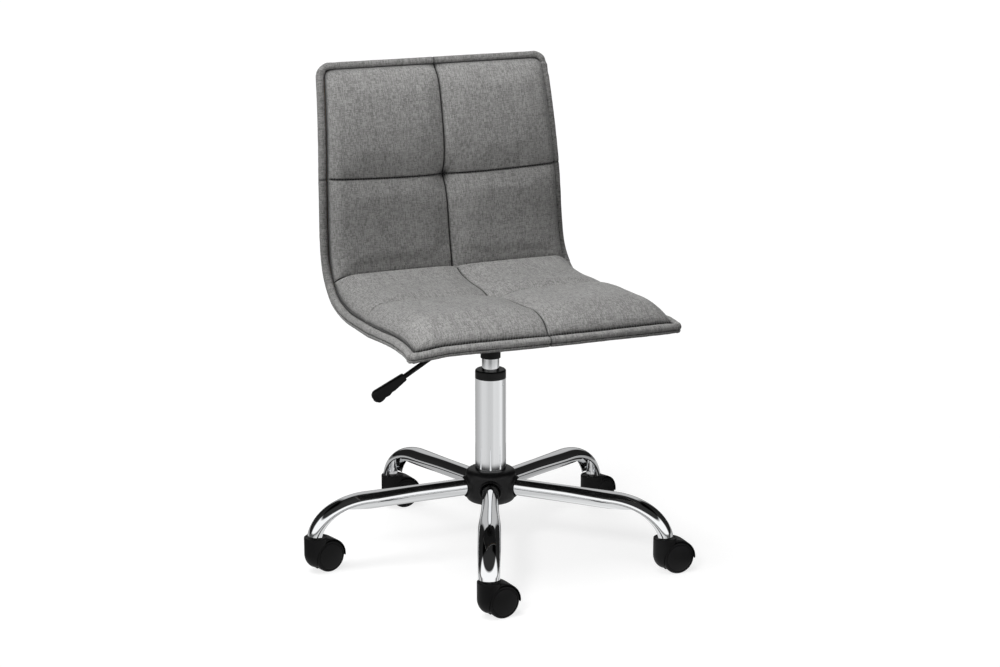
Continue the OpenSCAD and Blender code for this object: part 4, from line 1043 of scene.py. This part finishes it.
def fender():
    """Fender over the wheels: a squared-off section carried round the axle, thicker towards the
    boss and thinned to a rounded tip at the rear."""
    degrees = np.linspace(-6, 150, 70)[:, None]
    b, c = np.radians(degrees), np.linspace(0, 2 * np.pi, 36, endpoint=False)[None, :]
    crest = FENDER_R + 3.0 * ease((degrees - 62) / 55)
    thin = np.sqrt(np.clip((degrees + 6.6) / 5, 0, 1))
    reach = (crest + POCKET_R) / 2 + (crest - POCKET_R) / 2 * thin * squared_off(np.sin(c), 0.7)
    across = (FENDER_HALF - 0.8 * (1 - thin)) * squared_off(np.cos(c), 0.25)
    x, z = TRAIL + reach * np.cos(b), WHEEL_R + reach * np.sin(b)
    return np.stack([x, np.broadcast_to(across, reach.shape), z], -1)


def build_hood(k):
    """Hood of a caster, as three closed skins: boss, web and fender."""
    points, faces = np.zeros((0, 3)), []
    for part in (boss(), web(), fender()):
        faces += tube_faces(*part.shape[:2], start=len(points))
        points = np.concatenate([points, part.reshape(-1, 3)])
    made = piece(f"caster_hood_moulded_{k + 1}", at_caster(k, points), faces, caster_plastic,
                 f"caster_{k + 1}", f"caster_hood_{k + 1}", sharp=40)


# Lever: where its rod bends, how steeply it falls outwards, and where the paddle starts along it
LEVER_BEND_X = -34.0
LEVER_BEND_R = 14.0
LEVER_Z = 380.5
LEVER_FALL = math.radians(30)
LEVER_REACH = 124.5
PADDLE_L = 61.8
PADDLE_HALF = 5


def build_paddle():
    """Paddle on the lever: rounded oblong sections set along its length, each reaching up and
    down to the paddle's edges, with finger hollows below and a round tip."""
    tip = 52 + 9.8 * np.sin(np.radians(np.linspace(4, 88, 22)))
    u = np.concatenate([[0, 0.3, 1.0], np.linspace(2, 52, 60), tip])
    round_up, round_low = np.clip((u - 53) / 9, 0, 0.999), np.clip((u - 52) / 9.9, 0, 0.999)
    up = np.where(u < 53, np.interp(u, [0, 1.5, 53], [5.6, 6.5, 10.5]), 1.5 + 9 * np.sqrt(1 - round_up**2))
    low = np.where(u < 52, np.interp(u, [0, 1.5, 36, 52], [5.6, 6.5, 11, 12]),
                   2.5 + 9.5 * np.sqrt(1 - round_low**2))
    low = low - 1.1 * bell(u - 30, 3) - 1.3 * bell(u - 43, 3.2) - 0.9 * bell(u - 59, 1.5)
    half = PADDLE_HALF * np.interp(u, [0, 1, 54, 60, PADDLE_L], [0.86, 1, 1, 0.8, 0.35])
    c = np.linspace(0, 2 * np.pi, 48, endpoint=False)[None, :]
    rise = squared_off(np.sin(c), 0.6)
    y = half[:, None] * squared_off(np.cos(c), 0.5)
    x, z = -LEVER_REACH - u[:, None], LEVER_BEND_R + np.where(rise > 0, up[:, None], low[:, None]) * rise
    points = np.stack([LEVER_BEND_X + x * math.cos(LEVER_FALL) - z * math.sin(LEVER_FALL), y,
                       LEVER_Z - LEVER_BEND_R + x * math.sin(LEVER_FALL) + z * math.cos(LEVER_FALL)], -1)
    made = piece("lever_paddle", points * MM, tube_faces(*points.shape[:2]), handle_plastic, "lever",
                 "lever_handle", sharp=50)


for k in range(LEGS):
    build_leg(k)
build_hub()
for k in range(LEGS):
    build_hood(k)
    build_wheel(k, 1, "wheel_near")
    build_wheel(k, -1, "wheel_far")
build_paddle()

# Stage
FLOOR_HALF = 60
floor_mesh = bpy.data.meshes.new("floor")
floor_corners = [(x * FLOOR_HALF, y * FLOOR_HALF, 0) for x, y in ((-1, -1), (1, -1), (1, 1), (-1, 1))]
floor_mesh.from_pydata(floor_corners, [], [(0, 1, 2, 3)])
floor = bpy.data.objects.new("floor", floor_mesh)
bpy.context.scene.collection.objects.link(floor)

# Level direction from the camera's side of the chair to the far side
AHEAD_X = 0.3999
AHEAD_Y = 0.9165
# Brightness of the floor in the chrome, near the base and far from it, by bearing round the
# column in turns: 0.5 faces the camera
NEAR_STREAKS = [(0.08, 0.45), (0.15, 0.46), (0.25, 0.58), (0.33, 0.76), (0.4, 0.74), (0.46, 0.66),
                (0.5, 0.66), (0.54, 0.68), (0.565, 0.8), (0.66, 0.78), (0.74, 0.96), (0.79, 0.5),
                (0.84, 0.38), (0.93, 0.55)]
FAR_STREAKS = [(0.1, 0.12), (0.2, 0.12), (0.27, 0.36), (0.33, 0.58), (0.4, 0.54), (0.44, 0.32),
               (0.5, 0.26), (0.54, 0.34), (0.58, 0.56), (0.66, 0.6), (0.74, 0.7), (0.8, 0.5),
               (0.86, 0.12)]
# Radii in metres of the dark ring that the chrome shows round the base, and where the far floor starts
RING_INNER = 0.36
RING_OUTER = 0.53
FAR_RADIUS = 1.17


def floor_material():
    """Pale floor. Seen directly it is white with soft shadows, and it throws little light up. In
    the chrome it shows the studio's dark flags: a ring round the base, streaks by bearing, and
    the dark room beyond the sweep."""
    paint = Finish("floor_paint", (0.22, 0.22, 0.22), Roughness=1.0, Specular_IOR_Level=0.0)
    x, y, _ = paint.place().parts()
    radius = (x * x + y * y).math("SQRT")
    bearing = (x * AHEAD_Y - y * AHEAD_X).math("ARCTAN2", (x * AHEAD_X + y * AHEAD_Y) * -1)
    turns = bearing * (0.5 / math.pi) + 0.5
    near = paint.node("ValToRGB", {"stops": NEAR_STREAKS}, Fac=turns)
    far = paint.node("ValToRGB", {"stops": FAR_STREAKS}, Fac=turns)
    ring = ((radius - RING_INNER) * 60).clamp() * ((RING_OUTER - radius) * 40).clamp()
    streaks = paint.mix(((radius - FAR_RADIUS) * 18).clamp(), near, far)
    flagged = paint.mix(ring * 0.96, streaks, (0.01, 0.01, 0.01))
    in_chrome = paint.node("Emission", Color=flagged, Strength=1.0)
    white = paint.node("Emission", Color=(1, 1, 1, 1), Strength=0.785)
    shadowed = paint.node("BsdfDiffuse", Color=(0.3, 0.3, 0.3, 1))
    seen = paint.node("AddShader", i0=white, i1=shadowed)
    plain = Wire(paint.tree, paint.shader.outputs[0])
    glossy_ray = paint.node("LightPath", output="Is Glossy Ray")
    camera_ray = paint.node("LightPath", output="Is Camera Ray")
    reflected = paint.node("MixShader", i0=glossy_ray, i1=plain, i2=in_chrome)
    shown = paint.node("MixShader", i0=camera_ray, i1=reflected, i2=seen)
    paint.tree.links.new(shown.socket, paint.tree.nodes["Material Output"].inputs["Surface"])
    return paint.material


floor_mesh.materials.append(floor_material())

# The air: white behind the chair and dim all round. In the chrome it has a black ceiling that
# leans towards the camera, a black flag on either flank, a bright band between them that dulls
# towards the far side, and a dark horizon
AIR_LEVEL = 0.12
# Height at which the black ceiling starts and the dark horizon ends, and how far to either side
# the flanks start, as parts of a direction one long
CEILING_START = 0.62
HORIZON_END = 0.11
FLANK_START = 0.3
world = bpy.data.worlds.new("studio")
world.use_nodes = True
bpy.context.scene.world = world
air = world.node_tree
side, depth, height = add_node(air, "TexCoord", output="Generated").parts()
across, ahead = side * AHEAD_Y - depth * AHEAD_X, side * AHEAD_X + depth * AHEAD_Y
leaning = height * 0.985 - side * 0.067 - depth * 0.155
ceiling = ((leaning - CEILING_START) * 12).clamp()
horizon = ((HORIZON_END - height) * 14).clamp()
flank = ((across.math("ABSOLUTE") - FLANK_START) * 12).clamp() * ((ahead + 0.1) * 10).clamp()
flank = flank * ((height + 0.02) * 30).clamp()
band = 1.08 - (ahead * 1.3 + 0.35).clamp() * 0.55
chrome_air = band * (1 - ceiling * 0.97) * (1 - horizon * 0.9) * (1 - flank * 0.97)
glossy = add_node(air, "LightPath", output="Is Glossy Ray")
direct = add_node(air, "LightPath", output="Is Camera Ray")
level = glossy * chrome_air + direct + (1 - glossy - direct).clamp() * AIR_LEVEL
backdrop = air.nodes["Background"]
backdrop.inputs["Color"].default_value = (1, 1, 1, 1)
air.links.new(level.socket, backdrop.inputs["Strength"])


# Lamps, which the chrome doesn't show
def lamp(name, kind, energy, toward, place=(0, 0, 0)):
    """A lamp at a place in metres that shines along toward."""
    data = bpy.data.lights.new(name, kind)
    data.energy = energy
    made = bpy.data.objects.new(name, data)
    made.location = place
    made.rotation_euler = Vector(toward).to_track_quat("-Z", "Y").to_euler()
    made.visible_glossy = False
    bpy.context.scene.collection.objects.link(made)
    return data


def sun(name, toward, strength):
    """Broad soft light from a patch of sky 30 degrees wide."""
    lamp(name, "SUN", strength, toward).angle = math.radians(30)


def spot(name, place, aim, watts, cone, radius):
    """Soft-edged spotlight from place to aim, cone degrees wide."""
    data = lamp(name, "SPOT", watts, Vector(aim) - Vector(place), place)
    data.spot_size = math.radians(cone)
    data.spot_blend = 1.0
    data.shadow_soft_size = radius


sun("top", (0.34, 0.07, -1), 2.1)
sun("side", (1, 0.1, -0.2), 0.65)
sun("rear", (-0.35, -1, -0.15), 0.9)
spot("back", (-0.95, -1.9, 1.75), (-0.03, 0.25, 0.96), 140, 22, 0.2)
spot("seat", (-1.5, -1.7, 1.7), (-0.2, -0.38, 0.37), 150, 17, 0.25)

bpy.context.scene.view_settings.view_transform = "Standard"
